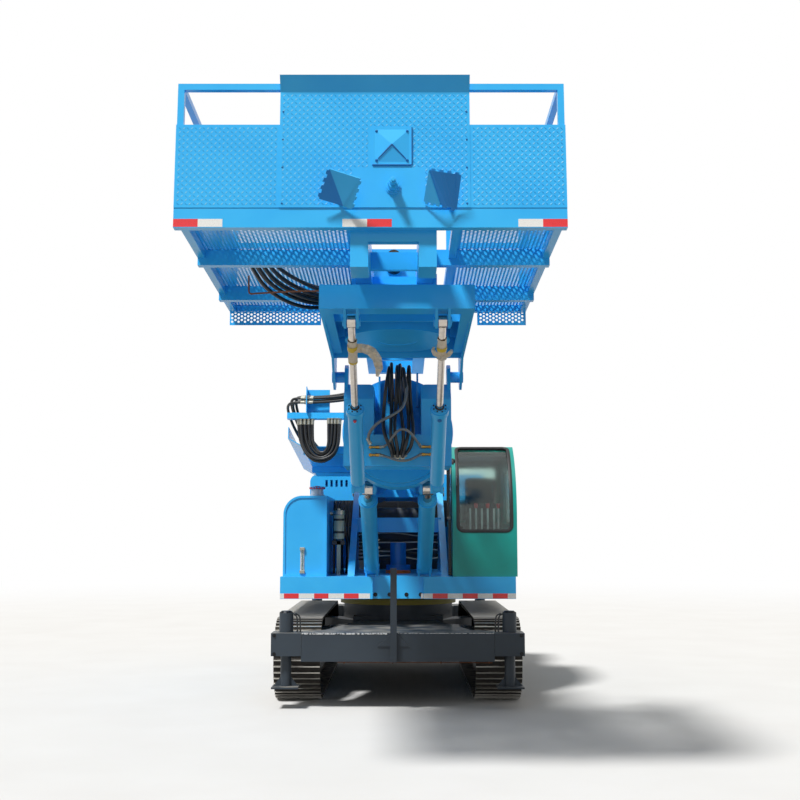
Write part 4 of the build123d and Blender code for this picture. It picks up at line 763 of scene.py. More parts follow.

# painted light: one slant of lozenges gets a painted glint, the other painted shade
glint_painted_ridge = enamel("glint_painted_ridge_enamel", "#A6E4FF", "#6CCDFA", roughness=0.18)
shaded_ridge = enamel("ridge_enamel", "#2EA9EC", "#2398DC", roughness=0.3)


def lozenges(name, fields, gaps, body, place):
    """Raised lozenges on upright faces; a field is x from, x to, face, z from, z to."""
    spots = []
    for x0, x1, face, z0, z1 in fields:
        count_x = int((x1 - x0) / LOZENGE_PITCH)
        count_z = int((z1 - z0) / LOZENGE_PITCH)
        for i in range(count_x):
            for k in range(count_z):
                x = x0 + (i + 0.5) * (x1 - x0) / count_x
                z = z0 + (k + 0.5) * (z1 - z0) / count_z
                if not any(a < x < b and c < z < d for a, b, c, d in gaps):
                    spots.append((x, face, z, (i + k) % 2))
    long, wide, high = LOZENGE_LONG / 2, LOZENGE_WIDE / 2, LOZENGE_HIGH
    shape = np.array([(-long, 0, 0), (0, 0, -wide), (long, 0, 0), (0, 0, wide), (-long * 0.55, -high, 0),
                      (long * 0.55, -high, 0)])
    faces = [(0, 1, 4), (1, 5, 4), (1, 2, 5), (2, 3, 5), (3, 4, 5), (3, 0, 4)]
    for slant, degrees, material in ((0, -45, shaded_ridge), (1, 45, glint_painted_ridge)):
        c, s = math.cos(math.radians(degrees)), math.sin(math.radians(degrees))
        points, polygons = [], []
        for x, face, z, turned in spots:
            if turned == slant:
                first = len(points)
                points += [(x + a * c - b * s, face + h, z + a * s + b * c) for a, h, b in shape]
                polygons += [tuple(first + corner for corner in face_of) for face_of in faces]
        bm = plain_bmesh(points, polygons)
        finished(bm, f"{name}_{slant + 1}", material, body, place, smooth=False)
    return len(spots)


print("a lozenge is", LOZENGE_LONG, "m long")

# %% [markdown]
# The front has a middle plate that stands 4 mm proud and two side plates. A margin is left at every edge,
# and no lozenge lies under the drill port's cover. Bolts along both sides hold the middle plate.

# %% Front plates
plate_low, plate_high = in_frame("platform_front_plate", MAST)
MID_LEFT, MID_RIGHT = -720 * MM, 450 * MM
SIDE_TOP = 798 * MM
MID_BEND = 1010 * MM
MID_FACE = plate_high.y - 8 * MM
SIDE_FACE = plate_high.y - 4 * MM
drill_low, drill_high = in_frame("drill_port_cover", MAST)
smooth_patch = (-0.27, 0.17, plate_low.z, drill_low.z - 30 * MM)
port = (drill_low.x - 10 * MM, drill_high.x + 10 * MM, drill_low.z - 10 * MM, drill_high.z + 10 * MM)
margin = 12 * MM
count = lozenges("checker_lozenges", (
    (plate_low.x + margin, MID_LEFT - margin, SIDE_FACE, plate_low.z + margin, SIDE_TOP - margin),
    (MID_LEFT + margin, MID_RIGHT - margin, MID_FACE, plate_low.z + margin, MID_BEND - margin),
    (MID_RIGHT + margin, plate_high.x - margin, SIDE_FACE, plate_low.z + margin, SIDE_TOP - margin),
), (smooth_patch, port), "mast", MAST)
heads = [((x, MID_FACE, z), (x, MID_FACE - 5 * MM, z), 6.5 * MM, 12, 4 * MM)
         for x in (MID_LEFT + 20 * MM, MID_RIGHT - 20 * MM) for z in (0.29, 0.52, 0.70, 0.88)]
# the plate's bolt heads take the shaded blue: painted shade
built("front_plate_bolts", shaded_enamel, "mast", (add_round, *heads), place=MAST)
print("lozenges", count)

# %% [markdown]
# Hydraulic hoses run in bundles. A bundle is described by its first and last hose: the others take their
# points between them, every second one a little off that line and each with a small slack of its own,
# because hoses of one length never lie quite alike. Each end has a hexagon nut and a crimped sleeve.

# %% Hoses and their ends
HOSE_THICK = 28 * MM


def hose(name, points, thick, body, replaced, material):
    """One hose through points in metres."""
    curve = round_curve(name, points, thick, 10)
    curve.materials.append(material)
    piece = bpy.data.objects.new(name, curve)
    stage_objects.link(piece)
    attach(piece, body)
    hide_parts(replaced)
    return piece


def ferrule(bm, end, inner, thick):
    """A crimped steel sleeve and its hexagon nut, from a hose's end towards its next point."""
    way = (inner - end).normalized()
    add_round(bm, end, end + way * 16 * MM, thick * 0.72, 6, edge=1.2 * MM)
    add_round(bm, end + way * 16 * MM, end + way * 58 * MM, thick * 0.58, 16, edge=1.5 * MM)


def hose_bundle(name, first, last, count, body, place, aside, replaced, thick=HOSE_THICK, slack=0.006,
                material=hose_rubber):
    """Hoses between a first and a last one, whose points are in millimetres in a slanted frame."""
    lengths = []
    fittings = bmesh.new()
    for index in range(count):
        share = index / max(count - 1, 1)
        off = Vector(aside) * MM * (index % 2)
        points = []
        for step, (a, b) in enumerate(zip(first, last)):
            local = Vector(a).lerp(Vector(b), share) * MM + off
            if 1 < step < len(first) - 2:
                sway = (math.sin(2.3 * index + step), math.cos(1.7 * index + step), math.sin(index))
                local += Vector(sway) * slack
            points.append(place @ local)
        piece = hose(f"{name}_{index + 1}", points, thick, body, replaced, material)
        lengths.append(piece.data.splines[0].calc_length())
        ferrule(fittings, points[0], points[1], thick)
        ferrule(fittings, points[-1], points[-2], thick)
    finished(fittings, f"{name}_fittings", zinc_plate, body)
    print(name, count, "hoses of", round(min(lengths), 2), "to", round(max(lengths), 2), "m")


print("hoses are", HOSE_THICK, "m thick unless told otherwise")

# %% [markdown]
# The machine's bundles lie under the platform, in the tray along the boom, across from the tray to the
# boom, in the loops that hang from the tray and beside the tank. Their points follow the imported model.

# %% Hose bundles
hose_bundle("platform_hose",
            ((-1012, -953, 190), (-1010, -790, 184), (-940, -600, 92), (-770, -400, 30), (-570, -215, 44),
             (-420, -98, 172), (-285, -98, 172)),
            ((-850, -953, 212), (-848, -800, 210), (-775, -640, 180), (-630, -500, 134), (-480, -340, 134),
             (-400, -190, 205), (-285, -190, 205)),
            9, "mast", MAST, (0, 0, 30), "platform_hoses")
hose_bundle("trough_hose",
            ((-845, 163, 300), (-845, 163, 850), (-870, 165, 1350), (-960, 235, 1760), (-1050, 380, 2000),
             (-1098, 510, 2150), (-1098, 555, 2260), (-1040, 568, 2365), (-905, 568, 2365)),
            ((-755, 163, 300), (-755, 163, 850), (-770, 165, 1350), (-870, 235, 1760), (-970, 380, 2000),
             (-1020, 530, 2140), (-1020, 600, 2230), (-970, 600, 2290), (-905, 600, 2290)),
            4, "boom", BOOM, (0, 36, 0), "trough_hoses")
hose_bundle("cross_hose",
            ((-897, 568, 2365), (-680, 566, 2365), (-375, 625, 2352), (-95, 560, 2270), (10, 420, 2175),
             (10, 200, 2175)),
            ((-897, 600, 2290), (-680, 600, 2290), (-385, 665, 2285), (-115, 595, 2215), (-10, 430, 2120),
             (-10, 200, 2120)),
            4, "boom", BOOM, (0, 34, 6), "cross_hoses")
hose_bundle("tray_hose",
            ((-985, 410, 2285), (-985, 270, 2285), (-940, 110, 2290), (-850, 5, 2300), (-720, -22, 2310),
             (-600, 60, 2315), (-572, 240, 2320), (-575, 410, 2320)),
            ((-850, 410, 2285), (-850, 290, 2285), (-838, 150, 2290), (-790, 75, 2300), (-725, 75, 2310),
             (-690, 150, 2315), (-690, 280, 2320), (-690, 410, 2320)),
            8, "boom", BOOM, (6, 0, 32), "tray_hoses")
hose_bundle("deck_hose",
            ((-720, -585, 1830), (-640, -585, 1830), (-598, -588, 1770), (-600, -592, 1640),
             (-630, -590, 1480), (-612, -588, 1330), (-612, -588, 1190)),
            ((-720, -735, 1830), (-640, -735, 1830), (-592, -735, 1770), (-604, -738, 1640),
             (-634, -740, 1480), (-618, -735, 1330), (-618, -735, 1190)),
            5, "upper", GROUND, (0, 0, 0), "deck_hoses")

# %% [markdown]
# Between the head's cheeks hang six hoses. Three more in light spiral guard lie across them, and the ends
# of two of these meet brass unions on the cross plate.

# %% Head hoses
hose_bundle("head_hose",
            ((-70, -3229, 2747), (-72, -3418, 2766), (-72, -3620, 2980), (-70, -3810, 2975),
             (-85, -3885, 2788), (-100, -3900, 2598), (-112, -4030, 2472), (-100, -4091, 2370),
             (-60, -4074, 2283), (-40, -4005, 2225), (-40, -3935, 2225)),
            ((80, -3229, 2747), (80, -3418, 2766), (80, -3620, 2980), (85, -3810, 2975), (95, -3885, 2788),
             (118, -3900, 2598), (135, -4030, 2472), (128, -4085, 2370), (95, -4070, 2283), (60, -4005, 2225),
             (60, -3935, 2225)),
            6, "head", GROUND, (0, 14, 22), "head_hoses", slack=0.012)
GUARDED = ((30, -3229, 2700), (30, -3430, 2720), (40, -3640, 2900), (60, -3800, 2890), (82, -3900, 2760),
           (55, -3970, 2620), (-50, -4060, 2545), (-150, -4085, 2500), (-222, -4050, 2430),
           (-235, -3995, 2370), (-215, -3975, 2330))
ARCH = ((-139, -3960, 2307), (-85, -4030, 2310), (-50, -4115, 2370), (15, -4130, 2440), (90, -4130, 2430),
        (150, -4080, 2350), (186, -3960, 2310))
LOW = ((-139, -3960, 2245), (-75, -4060, 2225), (0, -4112, 2190), (85, -4110, 2192), (150, -4060, 2225),
       (186, -3960, 2250))
for name, line, thick in (("guarded_hose", GUARDED, 24), ("arched_hose", ARCH, 20), ("low_hose", LOW, 20)):
    hose_bundle(name, line, line, 1, "head", GROUND, (0, 0, 0), "head_hoses", thick=thick * MM,
                material=spiral_guard)

# %% [markdown]
# The claws under the drill port are folded plate with torch-cut teeth. Each has two leaves that meet on one
# fold: on the left claw the fold lies back like a valley, on the right one it stands out like a ridge. One
# leaf of each pair is painted a darker blue, which is painted shade. A leaf is drawn flat from its corners,
# gets its teeth along the edges that grip, and is then given its 8 mm thickness.

# %% Claws with teeth
CLAW_T = 8 * MM
TOOTH_HIGH = 13 * MM
TOOTH_PITCH = 46 * MM
TOOTH = ((0.22, 0), (0.27, 1), (0.73, 1), (0.78, 0))      # shares of the pitch and of the height


def add_leaf(bm, corners, toothed):
    """A flat plate through its corners, with square teeth along the named edges."""
    spots = [Vector(corner) * MM for corner in corners]
    normal = (spots[1] - spots[0]).cross(spots[2] - spots[0]).normalized()
    outline = []
    for index, start in enumerate(spots):
        run = spots[(index + 1) % len(spots)] - start
        outline.append(start)
        if index in toothed:
            out = run.cross(normal).normalized() * TOOTH_HIGH
            count = round(run.length / TOOTH_PITCH)
            for tooth in range(count):
                outline += [start + run * (tooth + share) / count + out * lift for share, lift in TOOTH]
    sides = [[bm.verts.new(spot + normal * CLAW_T * way) for spot in outline] for way in (-0.5, 0.5)]
    bm.faces.new(sides[0][::-1])
    bm.faces.new(sides[1])
    skin(bm, sides)


def face_outwards(bm):
    """Turns every face of a closed shape outwards."""
    bmesh.ops.recalc_face_normals(bm, faces=bm.faces)


face_mm = MID_FACE / MM
CLAWS = (   # x, out from the plate, z of top left, top right, low right, fold, low left; toothed edges
    ((-402, 150, 456), (-217, 158, 391), (-272, 60, 234), (-326, 8, 271), (-470, 60, 299), (0,), (2,)),
    ((194, 158, 442), (387, 110, 430), (363, 12, 247), (265, 70, 257), (166, 14, 298), (1,), (1, 3)),
)
shade_painted_leaves, light_leaves = [], []
for claw, (first, second) in zip(CLAWS, ((shade_painted_leaves, light_leaves), (light_leaves, shade_painted_leaves))):
    top_left, top_right, low_right, fold, low_left = [(x, face_mm - out, z) for x, out, z in claw[:5]]
    first.append(((top_left, low_left, fold), claw[5]))
    second.append(((top_left, fold, low_right, top_right), claw[6]))
# painted shade: the darker blue of one leaf in each claw
claw_shade_enamel = enamel("claw_blue_painted_shade", "#1C94EA", "#1580D2", roughness=0.3)
shade_painted_claws = built("shade_painted_claw_leaves", claw_shade_enamel, "mast", (add_leaf, *shade_painted_leaves), (face_outwards, ()),
                   place=MAST)
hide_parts("front_claws")
print("claw teeth", TOOTH_PITCH, "m apart")

# %% [markdown]
# Two brackets carry the claws. The nose pin between them is turned from one bar in steps, with a hexagon
# for the spanner, and it shares a piece with the light leaves.

# %% Claw brackets and nose pin
NOSE_X, NOSE_Z = -0.022, 0.392
NOSE_STEPS = (   # millimetres out from the plate: from, to, radius, sides
    (0, 10, 47, 24), (10, 24, 39, 24), (24, 70, 30, 24), (70, 84, 34, 6),
    (84, 136, 20, 24), (136, 146, 12, 24),
)
brackets = [((x - 6 * MM, x + 6 * MM), (MID_FACE - out, MID_FACE), (0.310, 0.385))
            for x, out in ((-0.362, 46 * MM), (0.300, 60 * MM))]
nose = [((NOSE_X, MID_FACE - near * MM, NOSE_Z), (NOSE_X, MID_FACE - far * MM, NOSE_Z), radius * MM, sides)
        for near, far, radius, sides in NOSE_STEPS]
claws = built("folded_claws", sky_blue_enamel, "mast", (add_leaf, *light_leaves), (add_box, *brackets),
              (add_round, *nose), (face_outwards, ()), place=MAST)
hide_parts("front_claws")
print("nose pin of", len(nose), "steps")

# %% [markdown]
# The drill port's cover is a plate with a pressed pyramid. It has a bolt in each corner and two sharp folds
# down from its tip, all in the shaded blue, which is painted shade on them. Dark strips at its right and
# lower edges are a painted shadow.

# %% Drill port cover
PORT_FACE = drill_high.y
cover_mid = (drill_low + drill_high) / 2
half = (drill_high.x - drill_low.x) / 2 - 26 * MM
heads = [((x, PORT_FACE - 4 * MM, z), (x, PORT_FACE - 13 * MM, z), 9 * MM, 16, 6 * MM)
         for x in (cover_mid.x - half, cover_mid.x + half) for z in (cover_mid.z - half, cover_mid.z + half)]
built("cover_bolts", shaded_enamel, "mast", (add_round, *heads), place=MAST)
tip = Vector((cover_mid.x, drill_low.y - 1 * MM, cover_mid.z))
feet = [Vector((cover_mid.x + way * 0.085, PORT_FACE - 10 * MM, cover_mid.z - 0.085)) for way in (-1, 1)]
folds = [(tip, foot, 5 * MM, 6, 3 * MM) for foot in feet]
strip_y = (PORT_FACE - 9 * MM, PORT_FACE)
shadow_strips = (((drill_high.x, drill_high.x + 7 * MM), strip_y, (drill_low.z, drill_high.z)),
        ((drill_low.x, drill_high.x), strip_y, (drill_low.z - 7 * MM, drill_low.z)))
built("cover_folds_and_shadow_strips", shaded_enamel, "mast", (add_round, *folds), (add_box, *shadow_strips), place=MAST)
print("cover bolts", len(heads))

# %% [markdown]
# The rods of the tilting cylinders came wrapped in masking paper, held by yellow tape, with a torn flap
# hanging from the left one. A wrap is a tube of rings whose radius wanders with a noise, so it looks
# crumpled; the flap is a strip on a given line with the same noise in its depth.

# %% Masking paper on the rods
from mathutils import noise

ROD_BASE = Vector((0, -3.9800, 1.9900))
ROD_WAY = Vector((0, -0.7971, 0.6038))
ACROSS = Vector((1, 0, 0))
ROD_X = 0.310


def add_wrap(bm, x, start, end, radius, crumple, rings=40, sides=28):
    """Paper round a rod: start and end along the cylinder's axis, in metres from its base pin."""
    up = ROD_WAY.cross(ACROSS)
    loops = []
    for ring in range(rings + 1):
        spot = ROD_BASE + ACROSS * x + ROD_WAY * (start + (end - start) * ring / rings)
        loop = []
        for c, s in on_circle(sides):
            way = ACROSS * c + up * s
            wander = noise.noise((spot + way * 0.05) * 32) + 0.5 * noise.noise((spot + way * 0.05) * 80)
            loop.append(bm.verts.new(spot + way * (radius + crumple * (1 + wander))))
        loops.append(loop)
    skin(bm, loops, inward=True)


print("wraps start at the base pin")

# %% [markdown]
# A torn strip is two sheets of small quads, a paper's thickness apart, with a rim that closes them.

# %% Torn strips
STRIP_T = 0.8 * MM


def add_strip(bm, line, halves, crumple, steps=8):
    """A torn strip of paper on a given line of points, with its half widths."""
    rows = []
    for (a, b), (wide_a, wide_b) in zip(zip(line, line[1:]), zip(halves, halves[1:])):
        across = (Vector(b) - Vector(a)).normalized().cross(Vector((0, -1, 0))).normalized()
        for step in range(steps):
            spot = Vector(a).lerp(Vector(b), step / steps)
            wide = wide_a + (wide_b - wide_a) * step / steps
            row = []
            for column in range(-4, 5):
                point = spot + across * wide * column / 4
                point.y += crumple * noise.noise(point * 38) + crumple * 0.6 * noise.noise(point * 90)
                row.append(point)
            rows.append(row)
    fronts = [[bm.verts.new(point) for point in row] for row in rows]
    backs = [[bm.verts.new(point + Vector((0, STRIP_T, 0))) for point in row] for row in rows]
    for sheet, flip in ((fronts, False), (backs, True)):
        for low, high in zip(sheet, sheet[1:]):
            for column in range(8):
                quad = (low[column], low[column + 1], high[column + 1], high[column])
                bm.faces.new(quad[::-1] if flip else quad)
    rim = [(row[0], back[0]) for row, back in zip(fronts, backs)]
    rim += list(zip(fronts[-1][1:], backs[-1][1:]))
    rim += [(row[8], back[8]) for row, back in zip(fronts[-2::-1], backs[-2::-1])]
    rim += list(zip(fronts[0][7:0:-1], backs[0][7:0:-1]))
    for index, (front, back) in enumerate(rim):
        front_after, back_after = rim[(index + 1) % len(rim)]
        bm.faces.new((front, front_after, back_after, back))


print("strips ready")

# %% [markdown]
# The left rod has its paper, two rounds of tape and the flap; the right one has a shorter paper, one round
# and three torn tails.

# %% Wraps, tape and torn ends
FLAP = ((-0.30, -5.205, 2.905), (-0.235, -5.215, 2.905), (-0.18, -5.215, 2.885), (-0.14, -5.205, 2.835),
        (-0.125, -5.20, 2.77), (-0.14, -5.195, 2.70))
TAILS = (((0.298, -5.165, 2.862), (0.264, -5.175, 2.868), (0.250, -5.175, 2.895), (0.256, -5.165, 2.925)),
         ((0.322, -5.165, 2.858), (0.356, -5.175, 2.862), (0.374, -5.175, 2.885), (0.380, -5.165, 2.905)),
         ((0.282, -5.170, 2.852), (0.304, -5.185, 2.835), (0.330, -5.185, 2.838), (0.348, -5.175, 2.856)))
flap = (FLAP, (0.030, 0.032, 0.034, 0.032, 0.028, 0.006), 16 * MM)
tails = [(tail, (0.014, 0.016, 0.014, 0.005), 9 * MM) for tail in TAILS]
PAPERS = ((-ROD_X, 1.385, 1.600, 27 * MM, 5 * MM), (ROD_X, 1.445, 1.620, 27 * MM, 5 * MM))
TAPES = ((-ROD_X, 1.508, 1.550, 34 * MM, 1.5 * MM, 6), (-ROD_X, 1.388, 1.404, 32 * MM, 1.5 * MM, 4),
         (ROD_X, 1.512, 1.545, 34 * MM, 1.5 * MM, 5))
wraps = built("masking_paper_wraps", masking_paper, "tilt_rods", (add_wrap, *PAPERS),
              (add_strip, flap, *tails), (face_outwards, ()))
rounds = built("yellow_tape_rounds", yellow_tape, "tilt_rods", (add_wrap, *TAPES))
for piece in (wraps, rounds):      # each piece gets a mesh of its own
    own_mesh(piece)
print("wraps on two rods")

# %% [markdown]
# A rusty bar at the tilting frame is 12 mm reinforcing steel, which serves as a hook for slings. Ribs
# stiffen the disc of the head, and four brass unions on its cross plate take the ends of two hoses.

# %% Bent bar, ribs and unions
UNIONS = ((-0.215, 2.307, 1), (-0.215, 2.245, 1), (0.262, 2.310, -1), (0.262, 2.250, -1))      # x, z, way
HOOK = ((-0.500, -0.99, -0.020), (-0.640, -0.995, -0.020), (-0.960, -1.00, -0.040), (-1.005, -1.00, -0.045),
        (-1.008, -1.00, -0.005), (-1.010, -1.00, 0.085))
RIBS = (((-0.163, -0.147), (-3.300, -3.225), (2.64, 2.96)), ((0.160, 0.176), (-3.300, -3.225), (2.70, 2.99)))
hook = [MAST @ Vector(point) for point in HOOK]
built("sling_hook_bar", rusty_bar, "tilt_frame", (add_pipe, (hook, 12 * MM)))
built("disc_ribs", sky_blue_enamel, "head", (add_box, *RIBS))
nuts = []
for x, z, way in UNIONS:
    foot, side = Vector((x, -3.915, z)), Vector((x, -3.960, z))
    neck = side + ACROSS * way * 40 * MM
    nuts.append((foot, foot + Vector((0, -58 * MM, 0)), 14 * MM, 6))
    nuts.append((side, neck, 10 * MM, 6))
    nuts.append((neck, side + ACROSS * way * 76 * MM, 13 * MM, 6))
built("brass_unions", brass, "head", (add_round, *nuts))
print("unions", len(UNIONS))

# %% [markdown]
# The tank carries a sight gauge: a glass tube between two clamps, in front of a white strip.

# %% Sight gauge
TANK_FACE = -1.330
GAUGE_X = -0.965
tube_y = TANK_FACE - 15 * MM
clamp_y = (TANK_FACE - 26 * MM, TANK_FACE + 2 * MM)
clamps = [((-0.990, -0.940), clamp_y, (z - 16 * MM, z + 16 * MM), 3 * MM) for z in (1.235, 1.465)]
screws = [((GAUGE_X, clamp_y[0], z), (0, -1, 0), 12 * MM, 6 * MM) for z in (1.235, 1.465)]
built("gauge_strip", white_plastic, "upper",
      (add_box, ((-0.985, -0.945), (TANK_FACE - 7 * MM, TANK_FACE + 2 * MM), (1.245, 1.455))))
built("gauge_clamps", zinc_plate, "upper", (add_box, *clamps), (add_bolt, *screws))
built("gauge_tube", float_glass, "upper",
      (add_round, ((GAUGE_X, tube_y, 1.245), (GAUGE_X, tube_y, 1.455), 7 * MM, 16)))
print("gauge clamps", len(clamps))

# %% [markdown]
# The breather has a red ribbed cap, and the return filter a spun lid and two straps. All of them are turned
# parts, so each is a stack of short cylinders with broken edges on one upright axis.

# %% Breather and filter
UP = Vector((0, 0, 1))
BREATHER = Vector((-0.830, -1.180, 2.000))
FILTER = Vector((-0.620, -0.900, 1.560))


def stack(foot, *steps):
    """Calls of add_round on one upright axis: from, to and radius in millimetres, then its other values."""
    calls = []
    for low, high, radius, *rest in steps:
        calls.append((foot + UP * low * MM, foot + UP * high * MM, radius * MM, *rest))
    return calls


screws, ribs = [], []
for c, s in on_circle(6):
    screws.append((BREATHER + Vector((c, s, 0)) * 67 * MM + UP * 10 * MM, UP, 9 * MM, 4 * MM))
for c, s in on_circle(16):
    ribs += stack(BREATHER + Vector((c, s, 0)) * 76 * MM, (72, 90, 6, 8))
body = stack(BREATHER, (0, 10, 74, 32), (10, 72, 64, 32, 63 * MM, 4 * MM))
cap = stack(BREATHER, (70, 97, 77, 32, 72 * MM, 5 * MM), (96, 104, 30, 24, 26 * MM, 3 * MM))
lid = stack(FILTER, (250, 300, 64, 32, 60 * MM, 6 * MM), (298, 318, 22, 6), (-18, 6, 40, 24, 56 * MM, 4 * MM))
straps = stack(FILTER, (60, 82, 57.5, 32, 57.5 * MM, 1 * MM), (190, 212, 57.5, 32, 57.5 * MM, 1 * MM))
built("breather_body", white_plastic, "upper", (add_round, *body), (add_bolt, *screws))
built("breather_cap", red_plastic, "upper", (add_round, *cap, *ribs))
built("filter_lid", zinc_plate, "upper", (add_round, *lid))
built("filter_straps", black_abs, "upper", (add_round, *straps),
      (add_box, ((-0.690, -0.560), (-0.930, -0.850), (1.500, 1.545))))
print("breather ribs", len(ribs))

# %% [markdown]
# Black rubber profile seals every pane of the cab. A seal is a ring with a rounded outline, laid on a face:
# flat for the side and rear panes, and following the curve of the front for the windscreen. The ring is
# worked out on the flat and then bent by a small function that knows the face.

# %% Cab seals
CAB_ARC = Vector((0, -0.5441, 1.7941))
CAB_ARC_R = 0.8366
SCREEN_FOOT = 1.650
STRAIGHT = 0.110


def on_front(x, along, out):
    """A point on the cab's front: x across, along upwards from the windscreen's foot, out from the face."""
    if along < STRAIGHT:
        return Vector((x, -1.380 - out, SCREEN_FOOT + along))
    angle = math.atan2(-0.0341, -0.8359) - (along - STRAIGHT) / CAB_ARC_R
    reach = CAB_ARC_R + out
    return Vector((x, CAB_ARC.y + reach * math.cos(angle), CAB_ARC.z + reach * math.sin(angle)))


def rounded(x, s, corner, steps=24, turns=6):
    """Points of a rounded rectangle, with as many on every side whatever its size."""
    points = []
    left, right, low, high = x[0] + corner, x[1] - corner, s[0] + corner, s[1] - corner
    middles = ((right, low, -90), (right, high, 0), (left, high, 90), (left, low, 180))
    for cx, cs, first in middles:
        for turn in range(turns + 1):
            angle = math.radians(first + 90 * turn / turns)
            points.append((cx + corner * math.cos(angle), cs + corner * math.sin(angle)))
    full = []
    for index, (a, b) in enumerate(zip(points, points[1:] + points[:1])):
        full.append(a)
        if index % (turns + 1) == turns:
            shares = [k / steps for k in range(1, steps)]
            full += [(a[0] + (b[0] - a[0]) * share, a[1] + (b[1] - a[1]) * share) for share in shares]
    return full


print("outlines ready")

# %% [markdown]
# The seal itself is drawn between two such outlines as a profile of six points. Three more functions know
# the flat faces that have panes.

# %% Seal rings
def add_seal(bm, spot, x, s, wide, proud, corner, sunk):
    """A rubber ring on a face: its inner edge at x and s, a width outwards and a soft rounded top."""
    inner = rounded(x, s, corner)
    outer = rounded((x[0] - wide, x[1] + wide), (s[0] - wide, s[1] + wide), corner + wide)
    profile = ((0, -sunk), (0, proud * 0.6), (0.25, proud), (0.75, proud), (1, proud * 0.5), (1, -sunk))
    loops = []
    for share, out in profile:
        flat = [(a[0] + (b[0] - a[0]) * share, a[1] + (b[1] - a[1]) * share) for a, b in zip(inner, outer)]
        loops.append([bm.verts.new(spot(*point, out)) for point in flat])
    skin(bm, loops, closed=True, inward=True)


def on_rear(x, up, out):
    """A point on the cab's rear face."""
    return Vector((x, 0.100 + out, up))


def on_inner_side(y, up, out):
    """A point on the cab's side towards the boom."""
    return Vector((0.550 - out, y, up))


def on_door(y, up, out):
    """A point on the door's outer face."""
    return Vector((1.200 + out, y, up))


print("seal rings ready")

# %% [markdown]
# The windscreen has a wide seal, the other panes a narrower one. The door's seal turns with the door.

# %% Seals of the four panes
SCREEN_SEAL = (34 * MM, 9 * MM, 40 * MM, 22 * MM)      # width, height, corner radius and how deep it is sunk
PANE_SEAL = (24 * MM, 7 * MM, 40 * MM, 22 * MM)
door_low, door_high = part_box("cab_door_glass")
rim = 10 * MM
built("cab_seals", seal_rubber, "upper",
      (add_seal, (on_front, (0.622, 1.128), (0.012, 0.985), *SCREEN_SEAL),
       (on_rear, (0.650, 1.100), (1.770, 2.350), *PANE_SEAL),
       (on_inner_side, (-1.168, -0.072), (1.772, 2.368), *PANE_SEAL)),
      (face_outwards, ()))
pane = ((door_low.y + rim, door_high.y - rim), (door_low.z + rim, door_high.z - rim))
built("door_seal", seal_rubber, "cab_door", (add_seal, (on_door, *pane, *PANE_SEAL)), (face_outwards, ()))
print("seals on four panes")

# %% [markdown]
# Behind the glass are a grey lining, a ribbed rubber mat and a row of levers with red and black knobs.

# %% Lining, mat and levers
LINING = (
    ((0.596, 1.154), (-0.930, 0.050), (2.425, 2.435)), ((0.592, 0.598), (-1.330, 0.050), (1.235, 1.745)),
    ((0.592, 0.598), (-1.330, -1.200), (1.750, 2.200)), ((0.600, 1.150), (-1.338, -1.332), (1.235, 1.640)),
    ((0.600, 1.150), (0.050, 0.057), (1.235, 1.745)), ((0.600, 1.150), (0.050, 0.057), (2.375, 2.425)),
)
LEVER_Y = -1.170
RED_KNOBS = (0.800, 0.920, 1.030)
BLACK_KNOBS = (0.740, 0.860, 0.985)
built("cab_lining", lining_abs, "upper", (add_box, *LINING))
mat_ribs = []
for index in range(12):
    mat_ribs.append(((0.640, 1.110), (-1.250 + index * 0.05, -1.232 + index * 0.05), (1.239, 1.246)))
built("cab_floor_mat", seal_rubber, "upper",
      (add_box, ((0.600, 1.150), (-1.325, 0.045), (1.231, 1.240)), *mat_ribs))
rods = [((x, LEVER_Y, 1.595), (x, LEVER_Y, 1.880), 9.5 * MM, 12) for x in RED_KNOBS + BLACK_KNOBS]
built("lever_rods", white_plastic, "upper", (add_round, *rods))
for colour, chosen in ((red_plastic, RED_KNOBS), (black_abs, BLACK_KNOBS)):
    knobs = [((x, LEVER_Y, 1.875), (x, LEVER_Y, 1.925), 17 * MM, 20, 21 * MM, 7 * MM) for x in chosen]
    boots = [((x, LEVER_Y, 1.600), (x, LEVER_Y, 1.630), 24 * MM, 20, 12 * MM, 3 * MM) for x in chosen]
    built(f"lever_knobs_{chosen[0] * 1000:.0f}", colour, "upper", (add_round, *knobs, *boots))
print("levers", len(rods))

# %% [markdown]
# The seat's two pads are sewn cloth over foam, so they are made the way real padding behaves: a closed
# shell is remeshed, blown up a little by pressure in a cloth simulation, and the result is kept as the
# mesh. Two seams are then pulled in. The base below is a moulded shell.

# %% Padded seat
SEAM_SHARES = (0.22, 0.78)
SEAM_HALF = 9 * MM
SEAM_DEEP = 5 * MM


